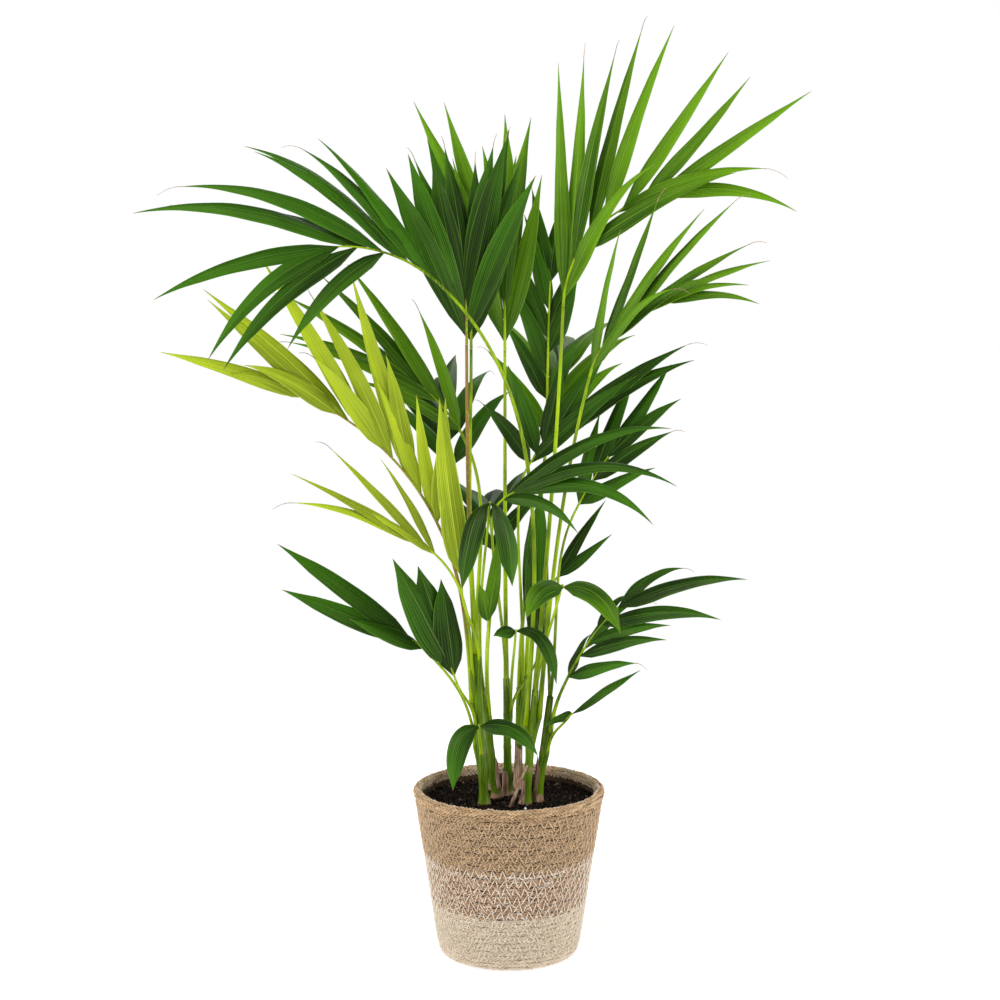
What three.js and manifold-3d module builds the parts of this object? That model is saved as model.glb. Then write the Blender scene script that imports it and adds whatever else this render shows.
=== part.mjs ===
// Potted kentia palm in a woven jute basket, in millimetres, +Z up.
// The origin is the centre of the basket's flat underside. -Y is the plant's front, +X its right.
// The palm is a clump of seedlings: short stems stand in the soil, each carries leaf stalks, and each
// stalk carries a rib with leaflets on both sides. Angles are in degrees. A heading counts from +X
// towards +Y, and a lean is the angle from straight up.

import * as THREE from 'three';
import { mergeVertices } from 'three/addons/utils/BufferGeometryUtils.js';
import Module from 'manifold-3d';

const wasm = await Module();
wasm.setup();

// Basket and soil
const FOOT_RADIUS = 90; // outside, where the side meets the rounded bottom edge
const BOTTOM_EDGE = 12; // radius of the bottom edge
const NECK_RADIUS = 119; // outside, just under the rolled rim
const NECK_HEIGHT = 204;
const ROLL_RADIUS = 6.5; // the braided roll along the rim
const BASKET_HEIGHT = 217;
const WALL = 7;
const FLOOR = 7;
const CREAM_TOP = 70; // the cream band ends here, and the mixed band starts
const MIXED_TOP = 130; // the mixed band ends here, and the plain jute band starts
const SOIL_TOP = 200;
const BASKET_SIDES = 32;
const ROLL_STEPS = 5;
const EDGE_STEPS = 2;

// Stems, stalks and ribs
const CLEAR = 0.3; // gap between pieces that touch
const SIDE_CLEAR = 0.34; // gap between a stem and the foot of a stalk beside it
const STEM_RADII = [5.6, 4.2]; // at the soil and at the top
const FLARE = 3.2; // how much wider a stem is at the soil
const FLARE_HEIGHT = 9; // the flare shrinks to about a third over this height
const STALK_RADII = [3.0, 1.9];
const FINE_STALK_RADII = [2.1, 1.5]; // of the small leaves
const RIB_TIP_RADIUS = 1.3;
const STEM_SIDES = 8;
const STALK_SIDES = 5;
const RIB_SIDES = 4;
const STALK_STEPS = 6;
const RIB_STEPS = 3;
const COLLAR = 9; // bare foot of a rib, before its first leaflet
const LAST_ROOT = 1.5; // how far inside the rib's tip the last leaflets start
const FOOT_HANDLE = 0.45; // how long a stalk keeps its stem's way, as a share of its span
const TIP_HANDLE = 0.3; // how long it already has its rib's way

// Leaflets
const LEAST_THICKNESS = 1.6;
const THICKNESS_SHARE = 1 / 90; // of the leaflet's length
const SUNK_ROOT = 0.6; // half the width of a leaflet's root inside its rib, as a share of the rib's radius
const ROOT_SHARE = 0.45; // width near the root, as a share of the widest
const WIDEST_AT = 0.35;
const TAPER_FROM = 0.25;
const FACET_WIDENING = 1.04; // makes up for what the straight facets cut off the rounded outline
const STRAIGHT_RINGS = [0, 0.15, 0.45, 0.76]; // places along a leaflet, as shares of its length
const BENT_RINGS = [0, 0.14, 0.32, 0.5, 0.68, 0.86];
const BENT_FROM = 0.8; // leaflets that droop more than this get the bent rings
const LIFT_WOBBLE = 8;
const SPREAD_WOBBLE = 4;

// Where each stem stands in the soil and where its top is
const STEMS = {
  left_front: { foot: [-31, -26], top: [-42, -20, 392] },
  left: { foot: [-15, 4], top: [-32, 6, 330] },
  middle: { foot: [-1, 22], top: [-3, 16, 352] },
  right_front: { foot: [21, -22], top: [33, -20, 345] },
  right: { foot: [36, -10], top: [52, -12, 335] },
  rear: { foot: [12, 50], top: [14, 62, 330] },
  rear_left: { foot: [-22, 46], top: [-34, 60, 330] },
};

// The leaflets on one side of a rib: how many, the longest, their angle to the rib at its foot and at
// its tip, how far they rise out of the leaf's plane, and how strongly they sink towards the ground.
// turned gives single leaflets more spread, more lift and a share of the length, and start is how far up
// the rib this side's leaflets begin.
function leaflets(count, length, footSpread, tipSpread, lift, droop, turned = {}, start = 0) {
  return { count, length, footSpread, tipSpread, lift, droop, turned, start };
}

// Each leaf leaves its stem at the height fork, on the side of heading side, or grows on
// from the stem's top. Its leaflets begin at crown. The rib heads and leans from the first to the
// second of its two values, and roll turns the leaf's face about it. first and last are the length of
// the leaflets at the rib's foot and tip, as shares of the longest. A fine leaf has a thinner stalk, and
// a small one is also one piece with its stalk. neck is a leaflet's width at its root, as a share of
// the widest, and widestAt is how far along it is widest.
const LEAVES = [
  { name: 'arching_left', hue: 'deep', stem: 'right_front', fork: 300, side: 180, crown: [-84, -70, 855],
    heading: [188, 198], lean: [47, 92], rib: 135, roll: -50, width: 24, taper: 1.7, first: 0.88, last: 1.03,
    left: leaflets(3, 215, 40, 20, -5, 1.1, { 1: [8, 0] }, 0.55),
    right: leaflets(8, 240, 28, 6, 5, 0.42,
                   { 0: [-3, 0, 1.1], 3: [5, 0], 6: [6, 0, 1.04], 7: [-8, 0, 0.88] }) },
  { name: 'centre_fan', hue: 'deep', stem: 'left_front', crown: [-52, -22, 778],
    heading: [95, 95], lean: [3, 14], rib: 60, roll: 0, width: 33, taper: 2.2, widestAt: 0.55, neck: 0.2,
    first: 1, last: 0.9,
    left: leaflets(4, 215, 20, 3, 8, 0.15), right: leaflets(3, 225, 19, 8, 8, 0.12) },
  { name: 'tall_right', hue: 'mid', stem: 'right_front', crown: [67, 20, 822],
    heading: [5, 0], lean: [2, 80], rib: 195, roll: 65, width: 22, taper: 1.4, neck: 0.35,
    first: 1, last: 0.84,
    left: leaflets(8, 290, 8, 28, 5, 0.04,
                  { 0: [-3, 0, 1.06], 1: [3, 0, 0.88], 2: [2, 0, 0.88], 3: [9, 0, 0.9],
                    4: [10, 0], 5: [2, 0, 0.92], 6: [7, 0, 0.86] }),
    right: leaflets(4, 215, 20, 4, -5, 0.6, { 1: [12, 0] }) },
  { name: 'middle_right', hue: 'mid', stem: 'right_front', fork: 310, side: 0, crown: [98, -30, 738],
    heading: [-10, -16], lean: [14, 72], rib: 135, roll: 50, width: 18, taper: 1.5, first: 0.85, last: 0.74,
    left: leaflets(6, 200, 9, 3, 5, 0.15, { 1: [12, 0], 3: [9, 0], 4: [4, 0, 0.9] }),
    right: leaflets(4, 175, 20, 8, 0, 0.6) },
  { name: 'pale_left', hue: 'pale', stem: 'left_front', fork: 330, side: 180, crown: [-85, -34, 551],
    heading: [182, 188], lean: [24, 66], rib: 240, roll: -80, width: 25, taper: 1.7, first: 1, last: 0.6,
    left: leaflets(5, 170, 30, 10, 146, 0.5, { 1: [0, 22] }),
    right: leaflets(8, 300, 24, 3, 5, 0.05,
                   { 0: [-6, 0, 0.54], 1: [-7, 0, 0.54], 2: [2, 0, 0.9], 3: [4, 0, 0.8],
                     4: [6, 0, 0.92], 6: [5, 0], 7: [-8, 0, 1.04] }) },
  { name: 'pale_low_left', hue: 'pale', fine: true, stem: 'left_front', fork: 358, side: 225,
    crown: [-84, -57, 517],
    heading: [185, 190], lean: [42, 60], rib: 30, roll: -60, width: 13, taper: 1.5, first: 0.75, last: 1,
    left: leaflets(2, 165, 6, 2, 10, 0.4), right: leaflets(3, 185, 26, 0, 10, 0.1, { 0: [-5, 0] }) },
  { name: 'hand_right', hue: 'deep', fine: true, stem: 'middle', fork: 330, side: 270,
    crown: [-14, -60, 586],
    heading: [-6, -14], lean: [40, 66], rib: 26, roll: 50, width: 22, taper: 1.5, first: 0.8, last: 1,
    tipHandle: 0.12, left: leaflets(2, 230, 4, 1, 0, 0.9, { 0: [-3, 0, 1.3], 1: [-1, 0, 0.86] }),
    right: leaflets(2, 190, 34, 8, 0, 1.3, { 0: [8, 0, 0.8] }) },
  { name: 'inner_right', hue: 'deep', fine: true, stem: 'rear', fork: 320, side: 315, crown: [22, 32, 617],
    heading: [10, 10], lean: [30, 50], rib: 50, roll: 60, width: 25, taper: 1.7, first: 0.9, last: 1,
    tipHandle: 0.15, left: leaflets(4, 125, 72, 20, 5, 0.3, { 0: [-2, 22, 0.9], 1: [2, 0] }),
    right: leaflets(3, 205, 8, 4, 5, 0.35, { 1: [3, 0, 1.12] }) },
  { name: 'back_right', hue: 'deep', fine: true, stem: 'right', crown: [84, 35, 564],
    heading: [15, 10], lean: [28, 36], rib: 80, roll: 50, width: 22, taper: 1.7, first: 0.8, last: 0.9,
    left: leaflets(3, 150, 16, 6, 5, 0.2), right: leaflets(3, 130, 30, 14, 0, 0.3) },
  { name: 'back_fan', hue: 'mid', stem: 'middle', crown: [-5, 60, 765],
    heading: [95, 95], lean: [3, 16], rib: 110, roll: 0, width: 31, taper: 1.5, widestAt: 0.5, neck: 0.25,
    first: 0.85, last: 0.85,
    left: leaflets(4, 275, 19, 6, 8, 0.05, { 1: [8, 0, 1.05], 2: [4, 0, 1.03], 3: [0, 0, 0.62] }),
    right: leaflets(4, 250, 14, 5, 8, 0.05, { 1: [-4, 0, 0.95], 2: [-7, 0, 0.97], 3: [0, 0, 0.7] }) },
  { name: 'back_left', hue: 'mid', stem: 'left', fork: 315, side: 135, crown: [-57, 50, 655],
    heading: [165, 172], lean: [28, 56], rib: 90, roll: -50, width: 20, taper: 1.6, first: 0.8, last: 0.9,
    left: leaflets(3, 200, 34, 8, 5, 0.3), right: leaflets(4, 215, 14, 6, 5, 0.2) },
  { name: 'low_left', hue: 'deep', fine: true, stem: 'left_front', fork: 272, side: 180,
    crown: [-101, -20, 392],
    heading: [182, 186], lean: [44, 56], rib: 30, roll: -60, width: 27, taper: 2.2, first: 0.6, last: 1,
    left: leaflets(2, 178, 24, 12, 5, 0.1), right: leaflets(1, 214, 1, 1, 5, 0.05) },
  { name: 'broad_low_left', hue: 'deep', fine: true, stem: 'left_front', fork: 300, side: 225,
    crown: [-65, -52, 362],
    heading: [185, 185], lean: [18, 26], rib: 24, roll: -60, width: 42, taper: 2.6, first: 1, last: 1,
    left: leaflets(1, 146, 3, 3, 5, 0.05), right: leaflets(2, 124, 18, 6, 5, 0.05) },
  { name: 'low_right', hue: 'deep', stem: 'right', fork: 290, side: 315, crown: [70, -22, 354],
    heading: [-4, -8], lean: [24, 44], rib: 120, roll: 40, width: 20, taper: 1.6, first: 0.6, last: 1.1,
    left: leaflets(4, 100, 10, 4, 5, 0.9, { 1: [-4, 0], 2: [12, 0, 0.7], 3: [0, 0, 0.95] }),
    right: leaflets(5, 160, 50, 26, 5, 0.32,
                   { 0: [4, 0, 1.3], 1: [2, 0, 0.98], 2: [2, 0, 0.8],
                   3: [12, 0, 1.14], 4: [10, 0, 1.2] }) },
  { name: 'hidden_right', hue: 'deep', stem: 'rear', fork: 305, side: 0, crown: [49, 90, 690],
    heading: [80, 80], lean: [3, 12], rib: 160, roll: 0, width: 24, taper: 1.6, first: 0.8, last: 0.9,
    left: leaflets(5, 140, 28, 10, 5, 0.2), right: leaflets(4, 110, 24, 10, 5, 0.2) },
  { name: 'second_fan', hue: 'deep', stem: 'left', crown: [-47, 20, 770],
    heading: [95, 95], lean: [3, 12], rib: 90, roll: 0, width: 28, taper: 1.8, widestAt: 0.5, neck: 0.25,
    first: 0.8, last: 0.9,
    left: leaflets(4, 215, 22, 6, 8, 0.1, { 3: [0, 0, 0.82] }),
    right: leaflets(4, 215, 20, 6, 8, 0.1, { 3: [0, 0, 0.72] }) },
  { name: 'inner_upright', hue: 'deep', fine: true, stem: 'middle', fork: 300, side: 45,
    crown: [37, 40, 380],
    heading: [80, 80], lean: [2, 4], rib: 24, roll: 0, width: 30, taper: 2.4, first: 0.9, last: 1,
    left: leaflets(2, 150, 12, 5, 5, 0.05, { 0: [-10, 12], 1: [-4, 0] }),
    right: leaflets(1, 190, 2, 2, 5, 0.02) },
  { name: 'rear_left', hue: 'deep', stem: 'rear_left', crown: [-70, 150, 600],
    heading: [105, 100], lean: [35, 85], rib: 180, roll: 0, width: 26, taper: 1.6, first: 0.8, last: 0.9,
    left: leaflets(5, 180, 32, 8, 5, 0.5), right: leaflets(5, 180, 32, 8, 5, 0.5) },
  { name: 'rear_right', hue: 'mid', stem: 'rear', crown: [50, 170, 640],
    heading: [80, 78], lean: [30, 80], rib: 180, roll: 0, width: 26, taper: 1.6, first: 0.8, last: 0.9,
    left: leaflets(5, 180, 32, 8, 5, 0.5), right: leaflets(5, 180, 32, 8, 5, 0.5) },
  { name: 'rear_low', hue: 'deep', stem: 'rear_left', fork: 300, side: 45, crown: [-20, 190, 480],
    heading: [95, 96], lean: [40, 92], rib: 140, roll: 0, width: 26, taper: 1.6, first: 0.8, last: 0.9,
    left: leaflets(4, 160, 32, 8, 5, 0.5), right: leaflets(4, 160, 32, 8, 5, 0.5) },
  { name: 'notched_right', hue: 'deep', fine: true, small: true, stem: 'right', fork: 262, side: 315,
    crown: [74, -52, 318], heading: [350, 350], lean: [35, 60], rib: 8, roll: 30, width: 18, taper: 2,
    left: leaflets(1, 50, 150, 150, 5, 0.6), right: leaflets(1, 105, -2, -2, 5, 0) },
  { name: 'drooping_right', hue: 'mid', fine: true, small: true, stem: 'right_front', fork: 325, side: 270,
    crown: [64, -60, 484], heading: [285, 285], lean: [30, 150], rib: 12, roll: 0, width: 30, taper: 2.4,
    left: leaflets(1, 102, 84, 84, 34, 2.4, { 0: [-6, 0] }), right: leaflets(1, 78, 85, 85, 26, 2.0) },
  { name: 'drooping_middle', hue: 'deep', fine: true, small: true, stem: 'left', fork: 310, side: 270,
    crown: [-24, -76, 588], heading: [275, 275], lean: [30, 112], rib: 12, roll: 0, width: 32, taper: 2.8,
    curl: 0.8, left: leaflets(1, 112, 80, 80, 0, 9), right: leaflets(1, 118, 76, 76, 0, 7) },
  { name: 'drooping_at_rim', hue: 'deep', fine: true, small: true, stem: 'left_front', fork: 262, side: 270,
    crown: [-37, -66, 310], heading: [275, 275], lean: [30, 150], rib: 10, roll: 0, width: 26, taper: 2.6,
    left: leaflets(1, 92, 84, 84, 28, 2.2), right: leaflets(1, 88, 78, 78, 6, 14) },
  { name: 'drooping_inner', hue: 'deep', fine: true, small: true, stem: 'middle', fork: 305, side: 315,
    crown: [8, -45, 425], heading: [275, 275], lean: [20, 150], rib: 8, roll: 0, width: 20, taper: 2.4,
    left: leaflets(1, 98, 78, 78, 16, 6.5), right: leaflets(1, 30, 85, 85, 10, 0.8) },
  { name: 'pale_upright', hue: 'pale', fine: true, small: true, stem: 'left_front', fork: 380, side: 315,
    crown: [-58, -66, 484], heading: [180, 180], lean: [0, 1], rib: 16, roll: -90, width: 30, taper: 2.2,
    left: leaflets(1, 150, 9, 9, 5, 0), right: leaflets(1, 218, -6, -6, 5, 0) },
  { name: 'small_fork', hue: 'mid', fine: true, small: true, stem: 'left', fork: 300, side: 315,
    crown: [-26, -60, 436], heading: [95, 95], lean: [0, 5], rib: 6, roll: 0, width: 18, taper: 2,
    left: leaflets(1, 45, 16, 16, 5, 0), right: leaflets(1, 108, 11, 11, 5, 0) },
  { name: 'small_right', hue: 'deep', fine: true, small: true, stem: 'right', fork: 310, side: 90,
    crown: [57, 45, 470], heading: [20, 20], lean: [30, 45], rib: 10, roll: 50, width: 15, taper: 1.7,
    left: leaflets(1, 110, 6, 6, 5, 0.1), right: leaflets(1, 90, 12, 12, 5, 0.1) },
];

const FINISHES = {
  jute: { color: '#b08d62', roughness: 0.95, metalness: 0 },
  mixed: { color: '#c4ad8a', roughness: 0.95, metalness: 0 },
  cream: { color: '#dccdb2', roughness: 0.95, metalness: 0 },
  soil: { color: '#2a2019', roughness: 1, metalness: 0 },
  stem: { color: '#7c8f35', roughness: 0.55, metalness: 0 },
  stalk: { color: '#9dbf3a', roughness: 0.45, metalness: 0 },
  deep: { color: '#1f5a2a', roughness: 0.4, metalness: 0 },
  mid: { color: '#3f8a33', roughness: 0.42, metalness: 0 },
  pale: { color: '#93b838', roughness: 0.45, metalness: 0 },
};

const plant = new THREE.Group();

function addPiece(name, geometry, finish) {
  const mesh = new THREE.Mesh(geometry, new THREE.MeshStandardMaterial(FINISHES[finish]));
  mesh.name = name;
  plant.add(mesh);
}

function mix(a, b, share) {
  return a + (b - a) * share;
}

// A repeatable number from -1 to 1 for one leaf, place and side
function wobble(leaf, place, side) {
  const wave = Math.sin(leaf * 12.9898 + place * 78.233 + side * 37.719) * 43758.5453;
  return 2 * (wave - Math.floor(wave)) - 1;
}

function direction(lean, heading) {
  const tilt = THREE.MathUtils.degToRad(lean);
  const turn = THREE.MathUtils.degToRad(heading);
  return new THREE.Vector3(Math.sin(tilt) * Math.cos(turn), Math.sin(tilt) * Math.sin(turn), Math.cos(tilt));
}

function along(point, way, distance) {
  return point.clone().addScaledVector(way, distance);
}

// A closed skin over rings of equal point counts, ending in a flat cap or in one point
function skin(rings, point) {
  const sides = rings[0].length;
  const positions = rings.flat().flatMap((p) => p.toArray());
  const faces = [];
  for (let ring = 0; ring < rings.length - 1; ring += 1) {
    for (let i = 0; i < sides; i += 1) {
      const a = ring * sides + i;
      const b = ring * sides + (i + 1) % sides;
      faces.push(a, b + sides, b, a, a + sides, b + sides);
    }
  }
  for (let i = 1; i < sides - 1; i += 1) {
    faces.push(0, i, i + 1);
  }
  const last = (rings.length - 1) * sides;
  for (let i = 0; i < sides; i += 1) {
    if (point) {
      faces.push(last + i, last + sides, last + (i + 1) % sides);
    } else if (i > 0 && i < sides - 1) {
      faces.push(last, last + i + 1, last + i);
    }
  }
  if (point) {
    positions.push(...point.toArray());
  }
  const geometry = new THREE.BufferGeometry();
  geometry.setAttribute('position', new THREE.Float32BufferAttribute(positions, 3));
  geometry.setIndex(faces);
  return geometry;
}

function solidOf(geometry) {
  return new wasm.Manifold(new wasm.Mesh({
    numProp: 3,
    vertProperties: new Float32Array(geometry.attributes.position.array),
    triVerts: new Uint32Array(geometry.index.array),
  }));
}

function geometryOf(solid) {
  const mesh = solid.getMesh();
  const geometry = new THREE.BufferGeometry();
  geometry.setAttribute('position', new THREE.BufferAttribute(mesh.vertProperties, 3));
  geometry.setIndex(new THREE.BufferAttribute(mesh.triVerts, 1));
  return geometry;
}

// A round limb along stations, each with its place, way and radius. Its first edge faces towards edge,
// and is carried along without twisting.
function limb(stations, edge, sides) {
  let out = edge;
  const rings = stations.map(({ place, way, radius }) => {
    out = along(out, way, -out.dot(way)).normalize();
    const up = new THREE.Vector3().crossVectors(way, out);
    return Array.from({ length: sides }, (_, i) => {
      const angle = i / sides * 2 * Math.PI;
      return along(place, out, radius * Math.cos(angle)).addScaledVector(up, -radius * Math.sin(angle));
    });
  });
  return skin(rings);
}

// Basket and soil, turned about the upright axis

function turned(profile) {
  const geometry = new THREE.LatheGeometry(profile.map(([x, z]) => new THREE.Vector2(x, z)), BASKET_SIDES);
  geometry.rotateX(Math.PI / 2);
  geometry.deleteAttribute('normal');
  geometry.deleteAttribute('uv');
  const merged = mergeVertices(geometry, 1e-3);
  const index = merged.index.array;
  const faces = [];
  for (let i = 0; i < index.length; i += 3) {
    const [a, b, c] = index.slice(i, i + 3);
    if (a !== b && b !== c && c !== a) {
      faces.push(a, b, c);
    }
  }
  merged.setIndex(faces);
  return merged;
}

function outside(height) {
  return mix(FOOT_RADIUS, NECK_RADIUS, (height - BOTTOM_EDGE) / (NECK_HEIGHT - BOTTOM_EDGE));
}

function arc([x, z], radius, from, to, steps) {
  return Array.from({ length: steps + 1 }, (_, i) => {
    const angle = THREE.MathUtils.degToRad(mix(from, to, i / steps));
    return [x + radius * Math.cos(angle), z + radius * Math.sin(angle)];
  });
}

function creamBand() {
  return turned([
    [0, 0],
    ...arc([FOOT_RADIUS - BOTTOM_EDGE, BOTTOM_EDGE], BOTTOM_EDGE, -90, 0, EDGE_STEPS),
    [outside(CREAM_TOP), CREAM_TOP],
    [outside(CREAM_TOP) - WALL, CREAM_TOP],
    [FOOT_RADIUS - WALL, BOTTOM_EDGE],
    [FOOT_RADIUS - BOTTOM_EDGE, FLOOR],
    [0, FLOOR],
  ]);
}

function mixedBand() {
  const foot = CREAM_TOP + CLEAR;
  const top = MIXED_TOP - CLEAR;
  return turned([
    [outside(foot) - WALL, foot],
    [outside(foot), foot],
    [outside(top), top],
    [outside(top) - WALL, top],
    [outside(foot) - WALL, foot],
  ]);
}

function juteBand() {
  const rollCentre = [NECK_RADIUS - WALL / 2, BASKET_HEIGHT - ROLL_RADIUS];
  return turned([
    [outside(MIXED_TOP) - WALL, MIXED_TOP],
    [outside(MIXED_TOP), MIXED_TOP],
    [outside(NECK_HEIGHT), NECK_HEIGHT],
    ...arc(rollCentre, ROLL_RADIUS, -30, 210, ROLL_STEPS),
    [outside(NECK_HEIGHT) - WALL, NECK_HEIGHT],
    [outside(MIXED_TOP) - WALL, MIXED_TOP],
  ]);
}

function soilBody() {
  const inset = WALL + CLEAR;
  return turned([
    [0, FLOOR + CLEAR],
    [FOOT_RADIUS - BOTTOM_EDGE - CLEAR, FLOOR + CLEAR],
    [FOOT_RADIUS - inset, BOTTOM_EDGE + CLEAR],
    [outside(SOIL_TOP) - inset, SOIL_TOP],
    [0, SOIL_TOP],
  ]);
}

// Stems, stalks and ribs

function stemAxis(stem) {
  const foot = new THREE.Vector3(...STEMS[stem].foot, SOIL_TOP + CLEAR);
  const top = new THREE.Vector3(...STEMS[stem].top);
  const way = top.clone().sub(foot).normalize();
  return { foot, top, way, length: foot.distanceTo(top) };
}

function stemRadius(share, height) {
  return mix(...STEM_RADII, share) + FLARE * Math.exp(-height / FLARE_HEIGHT);
}

function stemLimb(stem) {
  const { foot, way, length } = stemAxis(stem);
  const stations = [0, 4, 10, 22, 45, length].map((height) => ({
    place: along(foot, way, height),
    way: height === 0 ? new THREE.Vector3(0, 0, 1) : way,
    radius: stemRadius(height / length, height),
  }));
  return limb(stations, new THREE.Vector3(0, 1, 0), STEM_SIDES);
}

// Where a stalk starts: on its stem's tip, or beside the stem at the height of its fork
function stalkFoot(leaf, radius) {
  const { foot, top, way, length } = stemAxis(leaf.stem);
  if (leaf.fork === undefined) {
    return along(top, way, CLEAR);
  }
  const height = (leaf.fork - foot.z) / way.z;
  const gap = stemRadius(height / length, height) + radius + SIDE_CLEAR;
  return along(along(foot, way, height), direction(90, leaf.side), gap);
}

function stalkCurve(leaf, radius) {
  const foot = stalkFoot(leaf, radius);
  const crown = new THREE.Vector3(...leaf.crown);
  const span = foot.distanceTo(crown);
  const ribWay = direction(leaf.lean[0], leaf.heading[0]);
  return new THREE.CubicBezierCurve3(
    foot,
    along(foot, stemAxis(leaf.stem).way, FOOT_HANDLE * span),
    along(crown, ribWay, -(leaf.tipHandle ?? TIP_HANDLE) * span),
    crown,
  );
}

function sideways(heading) {
  return direction(90, heading + 90);
}

// The way that one edge of a stalk faces: towards the stem that it stands beside
function stalkEdge(leaf) {
  return leaf.side === undefined ? sideways(leaf.heading[0]) : direction(90, leaf.side + 180);
}

function stalkRadii(leaf) {
  return leaf.fine ? FINE_STALK_RADII : STALK_RADII;
}

function stalkStations(leaf) {
  const radii = stalkRadii(leaf);
  const curve = stalkCurve(leaf, radii[0]);
  return Array.from({ length: STALK_STEPS + 1 }, (_, i) => {
    const share = i / STALK_STEPS;
    return { place: curve.getPoint(share), way: curve.getTangent(share), radius: mix(...radii, share) };
  });
}

// The rib's stations: it turns and leans evenly from its foot to its tip
function ribStations(leaf) {
  const start = leaf.small ? 0 : CLEAR;
  const stations = [];
  let place = along(new THREE.Vector3(...leaf.crown), direction(leaf.lean[0], leaf.heading[0]), start);
  for (let i = 0; i <= RIB_STEPS; i += 1) {
    const share = i / RIB_STEPS;
    const way = direction(mix(...leaf.lean, share), mix(...leaf.heading, share));
    stations.push({ place, way, radius: mix(stalkRadii(leaf)[1], RIB_TIP_RADIUS, share) });
    const middle = (i + 0.5) / RIB_STEPS;
    const step = direction(mix(...leaf.lean, middle), mix(...leaf.heading, middle));
    place = along(place, step, leaf.rib / RIB_STEPS);
  }
  return stations;
}

function ribAt(stations, share) {
  const spot = share * (stations.length - 1);
  const index = Math.min(Math.floor(spot), stations.length - 2);
  const rest = spot - index;
  const here = stations[index];
  const next = stations[index + 1];
  return {
    place: here.place.clone().lerp(next.place, rest),
    way: here.way.clone().lerp(next.way, rest).normalize(),
    radius: mix(here.radius, next.radius, rest),
  };
}

// The leaf's own sideways and upward directions at one place on its rib
function leafPlane(way, heading, roll) {
  const level = sideways(heading);
  const face = new THREE.Vector3().crossVectors(way, level).normalize();
  const across = new THREE.Vector3().crossVectors(face, way).normalize();
  const turn = THREE.MathUtils.degToRad(roll);
  return {
    across: across.clone().multiplyScalar(Math.cos(turn)).addScaledVector(face, Math.sin(turn)),
    face: face.clone().multiplyScalar(Math.cos(turn)).addScaledVector(across, -Math.sin(turn)),
  };
}

// Leaflets

function widthShare(share, { taper, neck, widestAt }) {
  const root = mix(neck, 1, Math.sin(Math.PI / 2 * Math.min(share / widestAt, 1)));
  return root * (1 - Math.max(0, (share - TAPER_FROM) / (1 - TAPER_FROM)) ** taper);
}

// How long a leaflet is for its place on the rib, as a share of the longest
function lengthShare(leaf, place) {
  const { first = 1, last = 1 } = leaf;
  const rising = mix(first, 1, Math.sin(Math.PI / 2 * Math.min(place / 0.4, 1)));
  return rising * (1 - (1 - last) * Math.max(0, (place - 0.4) / 0.6));
}

// One leaflet's root, way, face and size. hand is 1 on the rib's left and -1 on its right.
function leafletPlan(leaf, number, hand, index, stations) {
  const group = hand > 0 ? leaf.left : leaf.right;
  const [moreSpread, moreLift, moreLength = 1] = group.turned[index] ?? [0, 0];
  let share = group.count === 1 ? 1 : index / (group.count - 1);
  if (index > 0 && index < group.count - 1) {
    share += 0.3 / group.count * wobble(number, index, hand);
  }
  const bare = leaf.small ? 0 : COLLAR / leaf.rib;
  const spot = mix(bare, 1 - LAST_ROOT / leaf.rib, mix(group.start, 1, share));
  const { place, way, radius } = ribAt(stations, spot);
  const plane = leafPlane(way, mix(...leaf.heading, spot), leaf.roll);
  const rise = group.lift + LIFT_WOBBLE * wobble(number, index, hand + 5);
  const lift = THREE.MathUtils.degToRad(rise + moreLift);
  const opening = mix(group.footSpread, group.tipSpread, share);
  const spread = THREE.MathUtils.degToRad(
    opening + SPREAD_WOBBLE * wobble(number, index + 20, hand) + moreSpread);
  const out = plane.across.clone().multiplyScalar(hand * Math.cos(lift));
  out.addScaledVector(plane.face, Math.sin(lift));
  const start = way.clone().multiplyScalar(Math.cos(spread)).addScaledVector(out, Math.sin(spread));
  start.normalize();
  const growth = moreLength * (1 + 0.07 * wobble(number, index + 40, hand));
  const size = lengthShare(leaf, share) * growth;
  return {
    root: place,
    rootSize: SUNK_ROOT * radius,
    way: start,
    face: plane.face,
    length: group.length * size,
    width: leaf.width * Math.sqrt(size),
    droop: group.droop * (1 + 0.25 * wobble(number, index + 60, hand)),
    curl: leaf.curl ?? 1.5,
    taper: leaf.taper,
    neck: leaf.neck ?? ROOT_SHARE,
    widestAt: leaf.widestAt ?? WIDEST_AT,
  };
}

// How the leaflet heads at a share of its length: it sinks more and more towards the ground
function leafletWay(plan, share) {
  return plan.way.clone().add(new THREE.Vector3(0, 0, -plan.droop * share ** plan.curl)).normalize();
}

// A blade with a flat underside and a low ridge above, from a narrow root in the rib to a pointed tip
function leafletBlade(plan) {
  const shares = plan.droop > BENT_FROM ? BENT_RINGS : STRAIGHT_RINGS;
  const thickness = Math.max(LEAST_THICKNESS, plan.length * THICKNESS_SHARE);
  const rings = [];
  let place = plan.root;
  shares.forEach((share, i) => {
    const way = leafletWay(plan, share);
    const normal = along(plan.face, way, -plan.face.dot(way)).normalize();
    const across = new THREE.Vector3().crossVectors(way, normal);
    const widest = plan.width / 2 * FACET_WIDENING * widthShare(share, plan);
    const half = i === 0 ? plan.rootSize : widest;
    const depth = i === 0 ? plan.rootSize : thickness;
    const low = along(place, normal, -depth / 2);
    rings.push([along(low, across, half), along(place, normal, depth / 2), along(low, across, -half)]);
    const next = shares[i + 1] ?? 1;
    place = along(place, leafletWay(plan, (share + next) / 2), plan.length * (next - share));
  });
  return skin(rings, place);
}

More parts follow.
